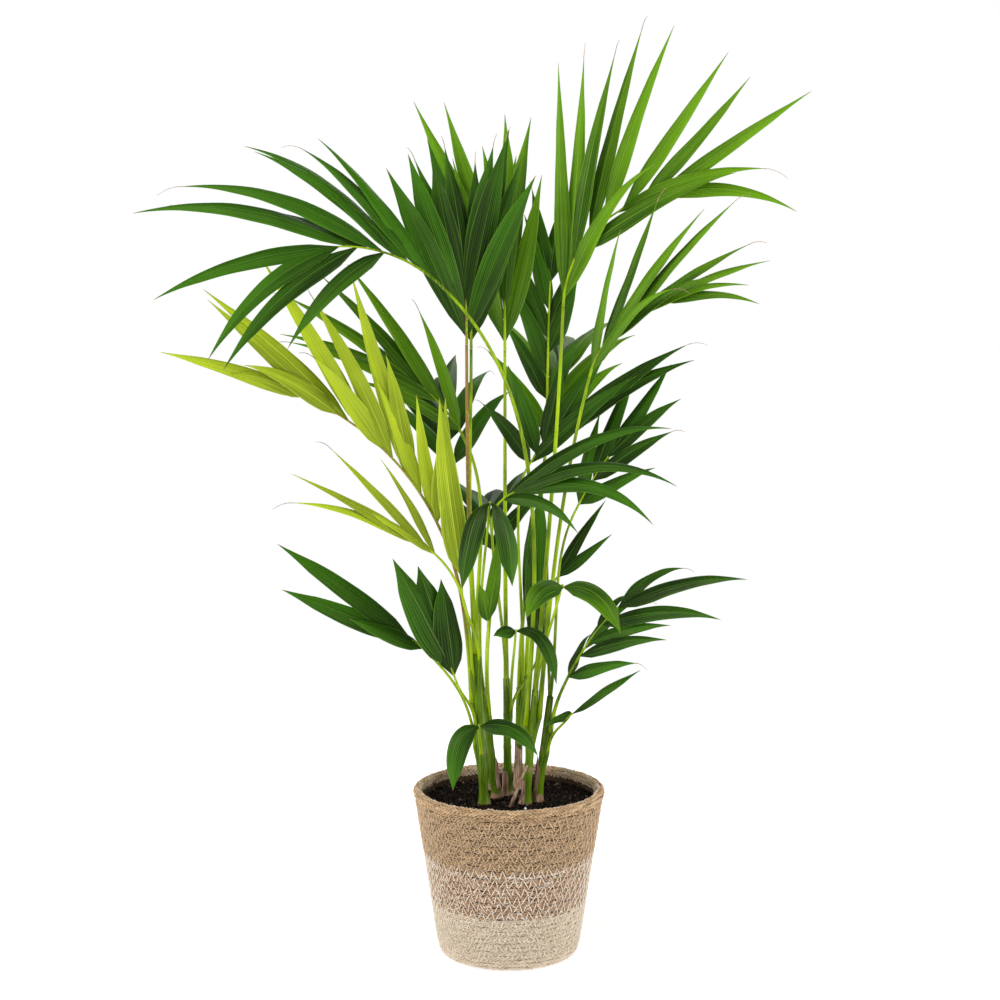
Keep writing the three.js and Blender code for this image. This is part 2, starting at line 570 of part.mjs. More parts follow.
// A rib with its leaflets in one piece. A small leaf has its stalk in the same piece.
function frond(leaf, number) {
  const stations = ribStations(leaf);
  const rib = limb(stations, sideways(leaf.heading[0]), RIB_SIDES);
  const spine = [...stalkStations(leaf), ...stations.slice(1)];
  let whole = solidOf(leaf.small ? limb(spine, stalkEdge(leaf), RIB_SIDES) : rib);
  for (const hand of [1, -1]) {
    const { count } = hand > 0 ? leaf.left : leaf.right;
    for (let index = 0; index < count; index += 1) {
      whole = whole.add(solidOf(leafletBlade(leafletPlan(leaf, number, hand, index, stations))));
    }
  }
  return geometryOf(whole);
}

addPiece('basket_cream', creamBand(), 'cream');
addPiece('basket_mixed', mixedBand(), 'mixed');
addPiece('basket_jute', juteBand(), 'jute');
addPiece('soil', soilBody(), 'soil');

for (const stem of Object.keys(STEMS)) {
  addPiece(`stem_${stem}`, stemLimb(stem), 'stem');
}

for (const leaf of LEAVES.filter(({ small }) => !small)) {
  addPiece(`stalk_${leaf.name}`, limb(stalkStations(leaf), stalkEdge(leaf), STALK_SIDES), 'stalk');
}

LEAVES.forEach((leaf, number) => {
  addPiece(`frond_${leaf.name}`, frond(leaf, number), leaf.hue);
});

export default plant;
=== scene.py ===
# Looks of the potted kentia palm. Lengths are in millimetres until a mesh is made, and angles in degrees.
# The origin is the centre of the basket's flat underside, -Y is the front, +X the right and +Z up.
import math

import bpy
import numpy as np
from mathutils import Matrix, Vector


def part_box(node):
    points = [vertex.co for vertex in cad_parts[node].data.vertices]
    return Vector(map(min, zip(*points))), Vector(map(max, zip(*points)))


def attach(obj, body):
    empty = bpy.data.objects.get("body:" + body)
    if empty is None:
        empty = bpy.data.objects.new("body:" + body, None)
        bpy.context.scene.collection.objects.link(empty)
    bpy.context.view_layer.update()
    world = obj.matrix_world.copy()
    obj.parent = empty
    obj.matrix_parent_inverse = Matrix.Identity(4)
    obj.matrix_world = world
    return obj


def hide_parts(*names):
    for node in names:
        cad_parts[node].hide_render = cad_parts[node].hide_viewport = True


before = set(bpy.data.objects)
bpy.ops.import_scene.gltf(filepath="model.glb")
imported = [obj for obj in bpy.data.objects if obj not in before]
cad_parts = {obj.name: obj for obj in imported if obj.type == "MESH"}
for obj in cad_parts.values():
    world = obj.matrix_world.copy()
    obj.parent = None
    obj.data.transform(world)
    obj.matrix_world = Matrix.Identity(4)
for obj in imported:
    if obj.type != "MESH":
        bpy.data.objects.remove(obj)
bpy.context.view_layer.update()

MM = 0.001


def lowest(node):
    """How high the underside of a CAD node is."""
    return round(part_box(node)[0][2] / MM, 1)


def highest(node):
    """How high the top of a CAD node is."""
    return round(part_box(node)[1][2] / MM, 1)


# Basket and soil
FOOT_RADIUS = 90.0
BOTTOM_EDGE = 12.0  # radius of the rounded edge between the underside and the wall
NECK_RADIUS = 119.0
NECK_HEIGHT = 204.0
ROLL_RADIUS = 6.5  # of the rolled rim
BASKET_HEIGHT = 217.0
WALL = 7.0
FLOOR = 7.0
CREAM_TOP = highest('basket_cream')
MIXED_TOP = lowest('basket_jute')
SOIL_TOP = highest('soil')

# Braids
BRAID_DEPTH = 2.2  # from the basket's outside to the middle of its braids
ROW = 5.4  # from one row of braid to the next
STRANDS = 3
STRAND = 1.02  # a strand's radius
STRAND_SIDES = 4  # enough, as a strand is under two pixels wide in the render
BRAID_WIDTH = 2.2  # how far a strand swings to each side
BRAID_SWELL = 0.8  # how far a strand rises as it crosses over another
BRAID_WAVE = 15.5  # a strand comes back to the same edge of its braid after this length
WAVE_STEPS = 6  # stations in that length
BRAID_ENDS = (-102.0, -14.0)  # where the last braid's ends lie on the rim, in degrees
END_SWELL = 1.4  # how far the braid stands out over them
STITCH_HEIGHT = 14.0  # of the zigzag of sewing thread
STITCH_PITCH = 11.7  # from one of its peaks to the next
STITCH_RADIUS = 0.48
RIM_GIRTH = 1.15  # how much thicker the rim's braids are
CORE_DEPTH = BRAID_DEPTH + 0.4  # from the basket's outside to the wall behind the braids
FUZZ = 70  # loose fibres that stick out of the braids
FUZZ_RADIUS = 0.14

# Soil's crumbs
CRUMBS = 2600
CRUMB_FIELD = 107.0  # radius of the soil that they lie on
WHITE_GRAIN = (20.5, -52.0, SOIL_TOP + 1.2)

# Stems, stalks and ribs
CLEAR = 0.3  # the gap between one solid and the next
SIDE_CLEAR = 0.34  # the gap between a stem and a stalk beside it
STEM_RADII = (5.6, 4.2)  # at the foot and at the top
FLARE = 3.2  # how much wider a stem is at its very foot
FLARE_HEIGHT = 9.0
STALK_RADII = (3.0, 1.9)  # at the foot and at the tip
FINE_STALK_RADII = (2.1, 1.5)
RIB_TIP_RADIUS = 1.3
COLLAR = 9.0  # the bare foot of a rib
LAST_ROOT = 1.5  # from a rib's last leaflets to its tip
FOOT_HANDLE = 0.45  # how far a stalk keeps to its stem's way, as a share of its span
TIP_HANDLE = 0.3  # how far it keeps to its rib's way
CLASP = 52.0  # how far down its stem a stalk's green sheath reaches

# Leaflets
USUAL_WIDTH = 24.0
VEINS = 6.0  # on each side of the midrib
ROOT_SHARE = 0.45  # width at the root as a share of the widest, where the leaf gives no neck
WIDEST_AT = 0.35  # how far along a leaflet is widest, where the leaf doesn't say
TAPER_FROM = 0.25  # how far along it starts to narrow to its tip
LIFT_WOBBLE = 8.0  # how much single leaflets differ in lift, in degrees
SPREAD_WOBBLE = 4.0  # and in their angle to the rib
BLADE_STEPS = 26  # stations along a leaflet
STATION_POWER = 0.9  # brings the stations closer together towards the tip
BLADE_HALF = 6  # facets across half a leaflet, one for each vein, so that its pleats show
BLADE_THICKNESS = 0.7
PLEAT = 0.008  # height of the folds between the veins, as a share of the leaflet's width
MIDRIB_FOLD = 2.6  # how much higher the fold at the midrib is
KEEL = 0.27  # how much a leaflet's edges hang below its midrib, as a share of its half width
TWIST = 10.0  # the most that a leaflet turns about its own length
BOW = 0.022  # the most that it bends to one side, as a share of its length
ARCH = 0.02  # how much it arches, as a share of its length
RIPPLE = 0.3  # how far its midrib goes up and down
RIPPLE_REACH = 9.0  # the length of a ripple, divided by two pi
EDGE_WAVE = 0.9  # how far its edges go up and down
ROOT_PINCH = 0.12  # how wide a leaflet is where it leaves its rib, as a share of what it soon becomes
ROOT_ENDS = 0.13  # where that pinch ends, as a share of the leaflet's length
TIP_PINCH = 0.45  # how much narrower its drawn-out tip is
TIP_FROM = 0.75
LEAST_HALF = 0.2  # half its width at the very tip
UNDERSIDE_WIDTH = 0.985  # the underside ends just inside the edge, so that the edge takes the top's colour
UNDERSIDE = 3.0  # what is added to the tone of a leaflet's underside
THREAD_LONGEST = 28.0
THREAD_SHARE = 0.14  # length of the dry thread at a tip, as a share of its leaflet's

STEMS = {
    'left_front': ((-31, -26), (-42, -20, 392)),
    'left': ((-15, 4), (-32, 6, 330)),
    'middle': ((-1, 22), (-3, 16, 352)),
    'right_front': ((21, -22), (33, -20, 345)),
    'right': ((36, -10), (52, -12, 335)),
    'rear': ((12, 50), (14, 62, 330)),
    'rear_left': ((-22, 46), (-34, 60, 330)),
}


def leaflets(count, length, foot_spread, tip_spread, lift, droop, turned=None, start=0):
    """The leaflets on one side of a rib: how many, the longest, their angle to the rib at its foot and at
    its tip, how far they rise out of the leaf's plane, how strongly they sink, single ones' more spread,
    more lift and share of the length, and how far up the rib they start."""
    return dict(count=count, length=length, foot_spread=foot_spread, tip_spread=tip_spread, lift=lift,
                droop=droop, turned=turned or {}, start=start)


# Each leaf, with the places in millimetres and the angles in degrees:
# hue, the kind of green; stem, the stem that carries it; fork and side, how high and on which side its stalk
# leaves the stem, where it doesn't stand on the stem's top; crown, where its stalk ends and its rib begins;
# heading and lean, which way the rib runs and how far it tips over, at its foot and at its tip; rib, the
# rib's length; roll, how far the leaf's face turns about the rib; width, a leaflet's width; taper, how long
# a leaflet stays wide; first and last, the length of the lowest and the topmost leaflets as a share of the
# longest; neck, a leaflet's width at its root as a share of the widest; widest_at, how far along it is
# widest; curl, how late it sinks; tip_handle, how straight the stalk runs into the rib; fine, a thin stalk;
# small, a young leaf with no stalk of its own; left and right, its leaflets.
LEAVES = [
    dict(name='arching_left', hue='deep', stem='right_front', fork=300, side=180, crown=[-84, -70, 855],
         heading=[188, 198], lean=[47, 92], rib=135, roll=-50, width=24, taper=1.7, first=0.88, last=1.03,
         left=leaflets(3, 215, 40, 20, -5, 1.1, {1: [8, 0]}, 0.55),
         right=leaflets(8, 240, 28, 6, 5, 0.42,
                        {0: [-3, 0, 1.1], 3: [5, 0], 6: [6, 0, 1.04], 7: [-8, 0, 0.88]})),
    dict(name='centre_fan', hue='deep', stem='left_front', crown=[-52, -22, 778],
         heading=[95, 95], lean=[3, 14], rib=60, roll=0, width=33, taper=2.2, widest_at=0.55, neck=0.2,
         first=1, last=0.9,
         left=leaflets(4, 215, 20, 3, 8, 0.15), right=leaflets(3, 225, 19, 8, 8, 0.12)),
    dict(name='tall_right', hue='mid', stem='right_front', crown=[67, 20, 822],
         heading=[5, 0], lean=[2, 80], rib=195, roll=65, width=22, taper=1.4, neck=0.35,
         first=1, last=0.84,
         left=leaflets(8, 290, 8, 28, 5, 0.04,
                       {0: [-3, 0, 1.06], 1: [3, 0, 0.88], 2: [2, 0, 0.88], 3: [9, 0, 0.9],
                         4: [10, 0], 5: [2, 0, 0.92], 6: [7, 0, 0.86]}),
         right=leaflets(4, 215, 20, 4, -5, 0.6, {1: [12, 0]})),
    dict(name='middle_right', hue='mid', stem='right_front', fork=310, side=0, crown=[98, -30, 738],
         heading=[-10, -16], lean=[14, 72], rib=135, roll=50, width=18, taper=1.5, first=0.85, last=0.74,
         left=leaflets(6, 200, 9, 3, 5, 0.15, {1: [12, 0], 3: [9, 0], 4: [4, 0, 0.9]}),
         right=leaflets(4, 175, 20, 8, 0, 0.6)),
    dict(name='pale_left', hue='pale', stem='left_front', fork=330, side=180, crown=[-85, -34, 551],
         heading=[182, 188], lean=[24, 66], rib=240, roll=-80, width=25, taper=1.7, first=1, last=0.6,
         left=leaflets(5, 170, 30, 10, 146, 0.5, {1: [0, 22]}),
         right=leaflets(8, 300, 24, 3, 5, 0.05,
                        {0: [-6, 0, 0.54], 1: [-7, 0, 0.54], 2: [2, 0, 0.9], 3: [4, 0, 0.8],
                          4: [6, 0, 0.92], 6: [5, 0], 7: [-8, 0, 1.04]})),
    dict(name='pale_low_left', hue='pale', fine=True, stem='left_front', fork=358, side=225,
         crown=[-84, -57, 517],
         heading=[185, 190], lean=[42, 60], rib=30, roll=-60, width=13, taper=1.5, first=0.75, last=1,
         left=leaflets(2, 165, 6, 2, 10, 0.4), right=leaflets(3, 185, 26, 0, 10, 0.1, {0: [-5, 0]})),
    dict(name='hand_right', hue='deep', fine=True, stem='middle', fork=330, side=270,
         crown=[-14, -60, 586],
         heading=[-6, -14], lean=[40, 66], rib=26, roll=50, width=22, taper=1.5, first=0.8, last=1,
         tip_handle=0.12, left=leaflets(2, 230, 4, 1, 0, 0.9, {0: [-3, 0, 1.3], 1: [-1, 0, 0.86]}),
         right=leaflets(2, 190, 34, 8, 0, 1.3, {0: [8, 0, 0.8]})),
    dict(name='inner_right', hue='deep', fine=True, stem='rear', fork=320, side=315, crown=[22, 32, 617],
         heading=[10, 10], lean=[30, 50], rib=50, roll=60, width=25, taper=1.7, first=0.9, last=1,
         tip_handle=0.15, left=leaflets(4, 125, 72, 20, 5, 0.3, {0: [-2, 22, 0.9], 1: [2, 0]}),
         right=leaflets(3, 205, 8, 4, 5, 0.35, {1: [3, 0, 1.12]})),
    dict(name='back_right', hue='deep', fine=True, stem='right', crown=[84, 35, 564],
         heading=[15, 10], lean=[28, 36], rib=80, roll=50, width=22, taper=1.7, first=0.8, last=0.9,
         left=leaflets(3, 150, 16, 6, 5, 0.2), right=leaflets(3, 130, 30, 14, 0, 0.3)),
    dict(name='back_fan', hue='mid', stem='middle', crown=[-5, 60, 765],
         heading=[95, 95], lean=[3, 16], rib=110, roll=0, width=31, taper=1.5, widest_at=0.5, neck=0.25,
         first=0.85, last=0.85,
         left=leaflets(4, 275, 19, 6, 8, 0.05, {1: [8, 0, 1.05], 2: [4, 0, 1.03], 3: [0, 0, 0.62]}),
         right=leaflets(4, 250, 14, 5, 8, 0.05, {1: [-4, 0, 0.95], 2: [-7, 0, 0.97], 3: [0, 0, 0.7]})),
    dict(name='back_left', hue='mid', stem='left', fork=315, side=135, crown=[-57, 50, 655],
         heading=[165, 172], lean=[28, 56], rib=90, roll=-50, width=20, taper=1.6, first=0.8, last=0.9,
         left=leaflets(3, 200, 34, 8, 5, 0.3), right=leaflets(4, 215, 14, 6, 5, 0.2)),
    dict(name='low_left', hue='deep', fine=True, stem='left_front', fork=272, side=180,
         crown=[-101, -20, 392],
         heading=[182, 186], lean=[44, 56], rib=30, roll=-60, width=27, taper=2.2, first=0.6, last=1,
         left=leaflets(2, 178, 24, 12, 5, 0.1), right=leaflets(1, 214, 1, 1, 5, 0.05)),
    dict(name='broad_low_left', hue='deep', fine=True, stem='left_front', fork=300, side=225,
         crown=[-65, -52, 362],
         heading=[185, 185], lean=[18, 26], rib=24, roll=-60, width=42, taper=2.6, first=1, last=1,
         left=leaflets(1, 146, 3, 3, 5, 0.05), right=leaflets(2, 124, 18, 6, 5, 0.05)),
    dict(name='low_right', hue='deep', stem='right', fork=290, side=315, crown=[70, -22, 354],
         heading=[-4, -8], lean=[24, 44], rib=120, roll=40, width=20, taper=1.6, first=0.6, last=1.1,
         left=leaflets(4, 100, 10, 4, 5, 0.9, {1: [-4, 0], 2: [12, 0, 0.7], 3: [0, 0, 0.95]}),
         right=leaflets(5, 160, 50, 26, 5, 0.32,
                        {0: [4, 0, 1.3], 1: [2, 0, 0.98], 2: [2, 0, 0.8],
                        3: [12, 0, 1.14], 4: [10, 0, 1.2]})),
    dict(name='hidden_right', hue='deep', stem='rear', fork=305, side=0, crown=[49, 90, 690],
         heading=[80, 80], lean=[3, 12], rib=160, roll=0, width=24, taper=1.6, first=0.8, last=0.9,
         left=leaflets(5, 140, 28, 10, 5, 0.2), right=leaflets(4, 110, 24, 10, 5, 0.2)),
    dict(name='second_fan', hue='deep', stem='left', crown=[-47, 20, 770],
         heading=[95, 95], lean=[3, 12], rib=90, roll=0, width=28, taper=1.8, widest_at=0.5, neck=0.25,
         first=0.8, last=0.9,
         left=leaflets(4, 215, 22, 6, 8, 0.1, {3: [0, 0, 0.82]}),
         right=leaflets(4, 215, 20, 6, 8, 0.1, {3: [0, 0, 0.72]})),
    dict(name='inner_upright', hue='deep', fine=True, stem='middle', fork=300, side=45,
         crown=[37, 40, 380],
         heading=[80, 80], lean=[2, 4], rib=24, roll=0, width=30, taper=2.4, first=0.9, last=1,
         left=leaflets(2, 150, 12, 5, 5, 0.05, {0: [-10, 12], 1: [-4, 0]}),
         right=leaflets(1, 190, 2, 2, 5, 0.02)),
    dict(name='rear_left', hue='deep', stem='rear_left', crown=[-70, 150, 600],
         heading=[105, 100], lean=[35, 85], rib=180, roll=0, width=26, taper=1.6, first=0.8, last=0.9,
         left=leaflets(5, 180, 32, 8, 5, 0.5), right=leaflets(5, 180, 32, 8, 5, 0.5)),
    dict(name='rear_right', hue='mid', stem='rear', crown=[50, 170, 640],
         heading=[80, 78], lean=[30, 80], rib=180, roll=0, width=26, taper=1.6, first=0.8, last=0.9,
         left=leaflets(5, 180, 32, 8, 5, 0.5), right=leaflets(5, 180, 32, 8, 5, 0.5)),
    dict(name='rear_low', hue='deep', stem='rear_left', fork=300, side=45, crown=[-20, 190, 480],
         heading=[95, 96], lean=[40, 92], rib=140, roll=0, width=26, taper=1.6, first=0.8, last=0.9,
         left=leaflets(4, 160, 32, 8, 5, 0.5), right=leaflets(4, 160, 32, 8, 5, 0.5)),
    dict(name='notched_right', hue='deep', fine=True, small=True, stem='right', fork=262, side=315,
         crown=[74, -52, 318], heading=[350, 350], lean=[35, 60], rib=8, roll=30, width=18, taper=2,
         left=leaflets(1, 50, 150, 150, 5, 0.6), right=leaflets(1, 105, -2, -2, 5, 0)),
    dict(name='drooping_right', hue='mid', fine=True, small=True, stem='right_front', fork=325, side=270,
         crown=[64, -60, 484], heading=[285, 285], lean=[30, 150], rib=12, roll=0, width=30, taper=2.4,
         left=leaflets(1, 102, 84, 84, 34, 2.4, {0: [-6, 0]}), right=leaflets(1, 78, 85, 85, 26, 2.0)),
    dict(name='drooping_middle', hue='deep', fine=True, small=True, stem='left', fork=310, side=270,
         crown=[-24, -76, 588], heading=[275, 275], lean=[30, 112], rib=12, roll=0, width=32, taper=2.8,
         curl=0.8, left=leaflets(1, 112, 80, 80, 0, 9), right=leaflets(1, 118, 76, 76, 0, 7)),
    dict(name='drooping_at_rim', hue='deep', fine=True, small=True, stem='left_front', fork=262, side=270,
         crown=[-37, -66, 310], heading=[275, 275], lean=[30, 150], rib=10, roll=0, width=26, taper=2.6,
         left=leaflets(1, 92, 84, 84, 28, 2.2), right=leaflets(1, 88, 78, 78, 6, 14)),
    dict(name='drooping_inner', hue='deep', fine=True, small=True, stem='middle', fork=305, side=315,
         crown=[8, -45, 425], heading=[275, 275], lean=[20, 150], rib=8, roll=0, width=20, taper=2.4,
         left=leaflets(1, 98, 78, 78, 16, 6.5), right=leaflets(1, 30, 85, 85, 10, 0.8)),
    dict(name='pale_upright', hue='pale', fine=True, small=True, stem='left_front', fork=380, side=315,
         crown=[-58, -66, 484], heading=[180, 180], lean=[0, 1], rib=16, roll=-90, width=30, taper=2.2,
         left=leaflets(1, 150, 9, 9, 5, 0), right=leaflets(1, 218, -6, -6, 5, 0)),
    dict(name='small_fork', hue='mid', fine=True, small=True, stem='left', fork=300, side=315,
         crown=[-26, -60, 436], heading=[95, 95], lean=[0, 5], rib=6, roll=0, width=18, taper=2,
         left=leaflets(1, 45, 16, 16, 5, 0), right=leaflets(1, 108, 11, 11, 5, 0)),
    dict(name='small_right', hue='deep', fine=True, small=True, stem='right', fork=310, side=90,
         crown=[57, 45, 470], heading=[20, 20], lean=[30, 45], rib=10, roll=50, width=15, taper=1.7,
         left=leaflets(1, 110, 6, 6, 5, 0.1), right=leaflets(1, 90, 12, 12, 5, 0.1)),
]

# How much lighter a leaf is than its kind: partly its own colour, and partly painted shade on the leaves
# inside, low and at the back of the crown, and painted light on the tall outer ones
LEAF_LIGHT_AND_SHADE = {
    'centre_fan': -0.4, 'arching_left': 0.5, 'low_left': -0.25, 'broad_low_left': -0.1, 'inner_right': -0.2,
    'inner_upright': -0.2, 'second_fan': -0.2, 'back_right': -0.15, 'rear_low': -0.3, 'rear_left': -0.3,
    'tall_right': 0.1, 'hand_right': -0.05, 'small_right': -0.2, 'drooping_at_rim': -0.1,
}
# How brown and dry a leaf's stalk is
BROWN = {'centre_fan': 0.62, 'pale_left': 0.6, 'hidden_right': 0.3, 'second_fan': 0.2, 'rear_left': 0.3}


# The rule that the leaves grow by

def mix(a, b, share):
    """The value at a share of the way from a to b."""
    return a + (b - a) * share


def wobble(leaf, place, side):
    """A repeatable number from -1 to 1."""
    wave = math.sin(leaf * 12.9898 + place * 78.233 + side * 37.719) * 43758.5453
    return 2 * (wave - math.floor(wave)) - 1


def unit(v):
    """A vector at length 1."""
    return v / np.linalg.norm(v)


def units(rows):
    """Each row of an array at length 1."""
    return rows / np.linalg.norm(rows, axis=1)[:, None]


def direction(lean, heading):
    """The way that leans this far from upright, towards this heading from +X."""
    tilt, turn = math.radians(lean), math.radians(heading)
    return np.array([math.sin(tilt) * math.cos(turn), math.sin(tilt) * math.sin(turn), math.cos(tilt)])


def sideways(heading):
    """The level way to the left of a heading."""
    return direction(90, heading + 90)


def stem_axis(stem):
    """A stem's foot, its top, the way between them and its length."""
    foot, top = STEMS[stem]
    foot, top = np.array([*foot, SOIL_TOP + CLEAR]), np.array(top, float)
    length = np.linalg.norm(top - foot)
    return foot, top, (top - foot) / length, length


def stem_radius(stem, height):
    """A stem's radius at a height along it. It tapers upward and flares at its foot."""
    length = stem_axis(stem)[3]
    return mix(*STEM_RADII, height / length) + FLARE * np.exp(-height / FLARE_HEIGHT)


def stalk_radii(leaf):
    """A stalk's radius at its foot and at its tip."""
    return FINE_STALK_RADII if leaf.get('fine') else STALK_RADII


def fork_height(leaf):
    """How far up its stem a leaf's stalk starts."""
    foot, top, way, length = stem_axis(leaf['stem'])
    return (leaf['fork'] - foot[2]) / way[2]


def stalk_foot(leaf):
    """Where a stalk starts: on its stem's top, or beside the stem at its fork."""
    foot, top, way, length = stem_axis(leaf['stem'])
    if 'fork' not in leaf:
        return top + way * CLEAR
    height = fork_height(leaf)
    gap = stem_radius(leaf['stem'], height) + stalk_radii(leaf)[0] + SIDE_CLEAR
    return foot + way * height + direction(90, leaf['side']) * gap


def stalk_curve(leaf, steps):
    """Places along the stalk, a curve from its stem's way to its rib's way."""
    foot, crown = stalk_foot(leaf), np.array(leaf['crown'], float)
    span = np.linalg.norm(crown - foot)
    low = foot + stem_axis(leaf['stem'])[2] * FOOT_HANDLE * span
    high = crown - direction(leaf['lean'][0], leaf['heading'][0]) * leaf.get('tip_handle', TIP_HANDLE) * span
    share = np.linspace(0, 1, steps + 1)[:, None]
    rest = 1 - share
    return (rest ** 3 * foot + 3 * rest * rest * share * low + 3 * rest * share * share * high
            + share ** 3 * crown)


def rib_curve(leaf, steps=24):
    """Places and ways along the rib, which turns and leans evenly from its foot to its tip."""
    start = 0 if leaf.get('small') else CLEAR
    place = np.array(leaf['crown'], float) + direction(leaf['lean'][0], leaf['heading'][0]) * start
    places, ways = [], []
    for i in range(steps + 1):
        ways.append(direction(mix(*leaf['lean'], i / steps), mix(*leaf['heading'], i / steps)))
        places.append(place)
        middle = (i + 0.5) / steps
        step = direction(mix(*leaf['lean'], middle), mix(*leaf['heading'], middle))
        place = place + step * leaf['rib'] / steps
    return np.array(places), np.array(ways)


def curve_at(places, ways, share):
    """Place and way at a share of a curve's length."""
    spot = share * (len(places) - 1)
    index = min(int(spot), len(places) - 2)
    rest = spot - index
    return mix(places[index], places[index + 1], rest), unit(mix(ways[index], ways[index + 1], rest))


def leaf_plane(way, heading, roll):
    """The way across a leaf and the way out of its face, where its rib points this way."""
    level = sideways(heading)
    face = unit(np.cross(way, level))
    across = unit(np.cross(face, way))
    turn = math.radians(roll)
    return (across * math.cos(turn) + face * math.sin(turn), face * math.cos(turn) - across * math.sin(turn))


def length_share(leaf, place):
    """A leaflet's length as a share of the longest, which stand at two fifths of the rib."""
    first, last = leaf.get('first', 1), leaf.get('last', 1)
    rising = mix(first, 1, math.sin(math.pi / 2 * min(place / 0.4, 1)))
    return rising * (1 - (1 - last) * max(0, (place - 0.4) / 0.6))


def width_share(share, plan):
    """A leaflet's width along it, as a share of the widest."""
    neck = plan['neck']
    root = neck + (1 - neck) * np.sin(np.pi / 2 * np.minimum(share / plan['widest_at'], 1))
    return root * (1 - np.maximum(0, (share - TAPER_FROM) / (1 - TAPER_FROM)) ** plan['taper'])


def side_of(leaf, hand):
    """The leaflets on a leaf's left for hand 1, or on its right for hand -1."""
    return leaf['left'] if hand > 0 else leaf['right']


def leaflet_plan(leaf, number, hand, index, rib):
    """Where one leaflet starts, which way it points, and its sizes."""
    group = side_of(leaf, hand)
    more_spread, more_lift, more_length = (list(group['turned'].get(index, (0, 0))) + [1])[:3]
    share = 1 if group['count'] == 1 else index / (group['count'] - 1)
    if 0 < index < group['count'] - 1:
        share += 0.3 / group['count'] * wobble(number, index, hand)
    bare = 0 if leaf.get('small') else COLLAR / leaf['rib']
    spot = mix(bare, 1 - LAST_ROOT / leaf['rib'], mix(group['start'], 1, share))
    root, way = curve_at(*rib, spot)
    across, face = leaf_plane(way, mix(*leaf['heading'], spot), leaf['roll'])
    lift = math.radians(group['lift'] + LIFT_WOBBLE * wobble(number, index, hand + 5) + more_lift)
    opening = mix(group['foot_spread'], group['tip_spread'], share)
    spread = math.radians(opening + SPREAD_WOBBLE * wobble(number, index + 20, hand) + more_spread)
    out = across * hand * math.cos(lift) + face * math.sin(lift)
    size = length_share(leaf, share) * (1 + 0.07 * wobble(number, index + 40, hand)) * more_length
    return dict(root=root, way=unit(way * math.cos(spread) + out * math.sin(spread)), face=face,
                length=group['length'] * size, width=leaf['width'] * math.sqrt(size),
                droop=group['droop'] * (1 + 0.25 * wobble(number, index + 60, hand)),
                curl=leaf.get('curl', 1.5), taper=leaf['taper'], neck=leaf.get('neck', ROOT_SHARE),
                widest_at=leaf.get('widest_at', WIDEST_AT))


# Meshes

class Skin:
    """Gathers closed grids of points into one mesh, with three numbers per point for the materials."""

    def __init__(self):
        self.points, self.faces, self.marks, self.count = [], [], [], 0

    def grid(self, rings, marks, close_ends=True):
        """Adds rings of points, (stations, around, 3), that close around. marks has that shape or spreads
        to it."""
        stations, around = rings.shape[:2]
        index = np.arange(stations * around).reshape(stations, around) + self.count
        right = np.roll(index, -1, axis=1)
        quads = np.stack([index[:-1], right[:-1], right[1:], index[1:]], axis=-1).reshape(-1, 4)
        self.points.append(rings.reshape(-1, 3))
        self.marks.append(np.broadcast_to(marks, rings.shape).reshape(-1, 3))
        self.faces.extend(quads.tolist())
        if close_ends:
            self.faces.append(index[0][::-1].tolist())
            self.faces.append(index[-1].tolist())
        self.count += stations * around

    def build(self, name, material, crease):
        """The mesh in metres, smooth but for edges that turn by more than the crease."""
        mesh = bpy.data.meshes.new(name)
        points = np.concatenate(self.points) * MM
        mesh.from_pydata(points.tolist(), [], self.faces)
        marks = mesh.attributes.new('marks', 'FLOAT_VECTOR', 'POINT')
        marks.data.foreach_set('vector', np.concatenate(self.marks).astype(np.float32).ravel())
        mesh.polygons.foreach_set('use_smooth', [True] * len(mesh.polygons))
        mesh.validate()
        mesh.update()
        mesh.set_sharp_from_angle(angle=math.radians(crease))
        mesh.materials.append(material)
        piece = bpy.data.objects.new(name, mesh)
        bpy.context.scene.collection.objects.link(piece)
        return piece


def add_piece(skin, name, material, nodes=(), crease=180):
    """Makes a skin into a piece that stands for these CAD nodes and takes this material."""
    piece = skin.build(name, material, crease)
    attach(piece, 'root')
    if nodes:
        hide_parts(*nodes)


def tube(skin, places, radii, sides, mark=(0, 0, 0), edge=(1.0, 0.3, 0.2), shape=None):
    """A round limb through places, with its first side towards edge. shape scales the radius around, and
    mark is one or one per station."""
    places = np.asarray(places, float)
    ways = units(np.gradient(places, axis=0))
    out = np.array(edge, float)
    angles = np.arange(sides) / sides * 2 * np.pi
    scale = np.ones(sides) if shape is None else shape(angles)
    radii = np.broadcast_to(radii, len(places))
    rings = np.empty((len(places), sides, 3))
    for i, (place, way) in enumerate(zip(places, ways)):
        out = unit(out - way * out.dot(way))
        up = np.cross(way, out)
        ring = np.cos(angles)[:, None] * out + np.sin(angles)[:, None] * up
        rings[i] = place + ring * (radii[i] * scale)[:, None]
    marks = np.asarray(mark, float)
    skin.grid(rings, marks if marks.ndim == 1 else marks[:, None, :])


def brown_marks(brown):
    """Marks for a stalk's or a stem's stations: how brown and dry it is at each."""
    return np.stack([brown * 0, brown * 0, brown], axis=1)


def sinking(plan, share):
    """The ways that a leaflet points along its length. It sinks ever more towards its tip."""
    down = np.array([0, 0, -1.0])
    return units(plan['way'] + down * (plan['droop'] * share ** plan['curl'])[:, None])


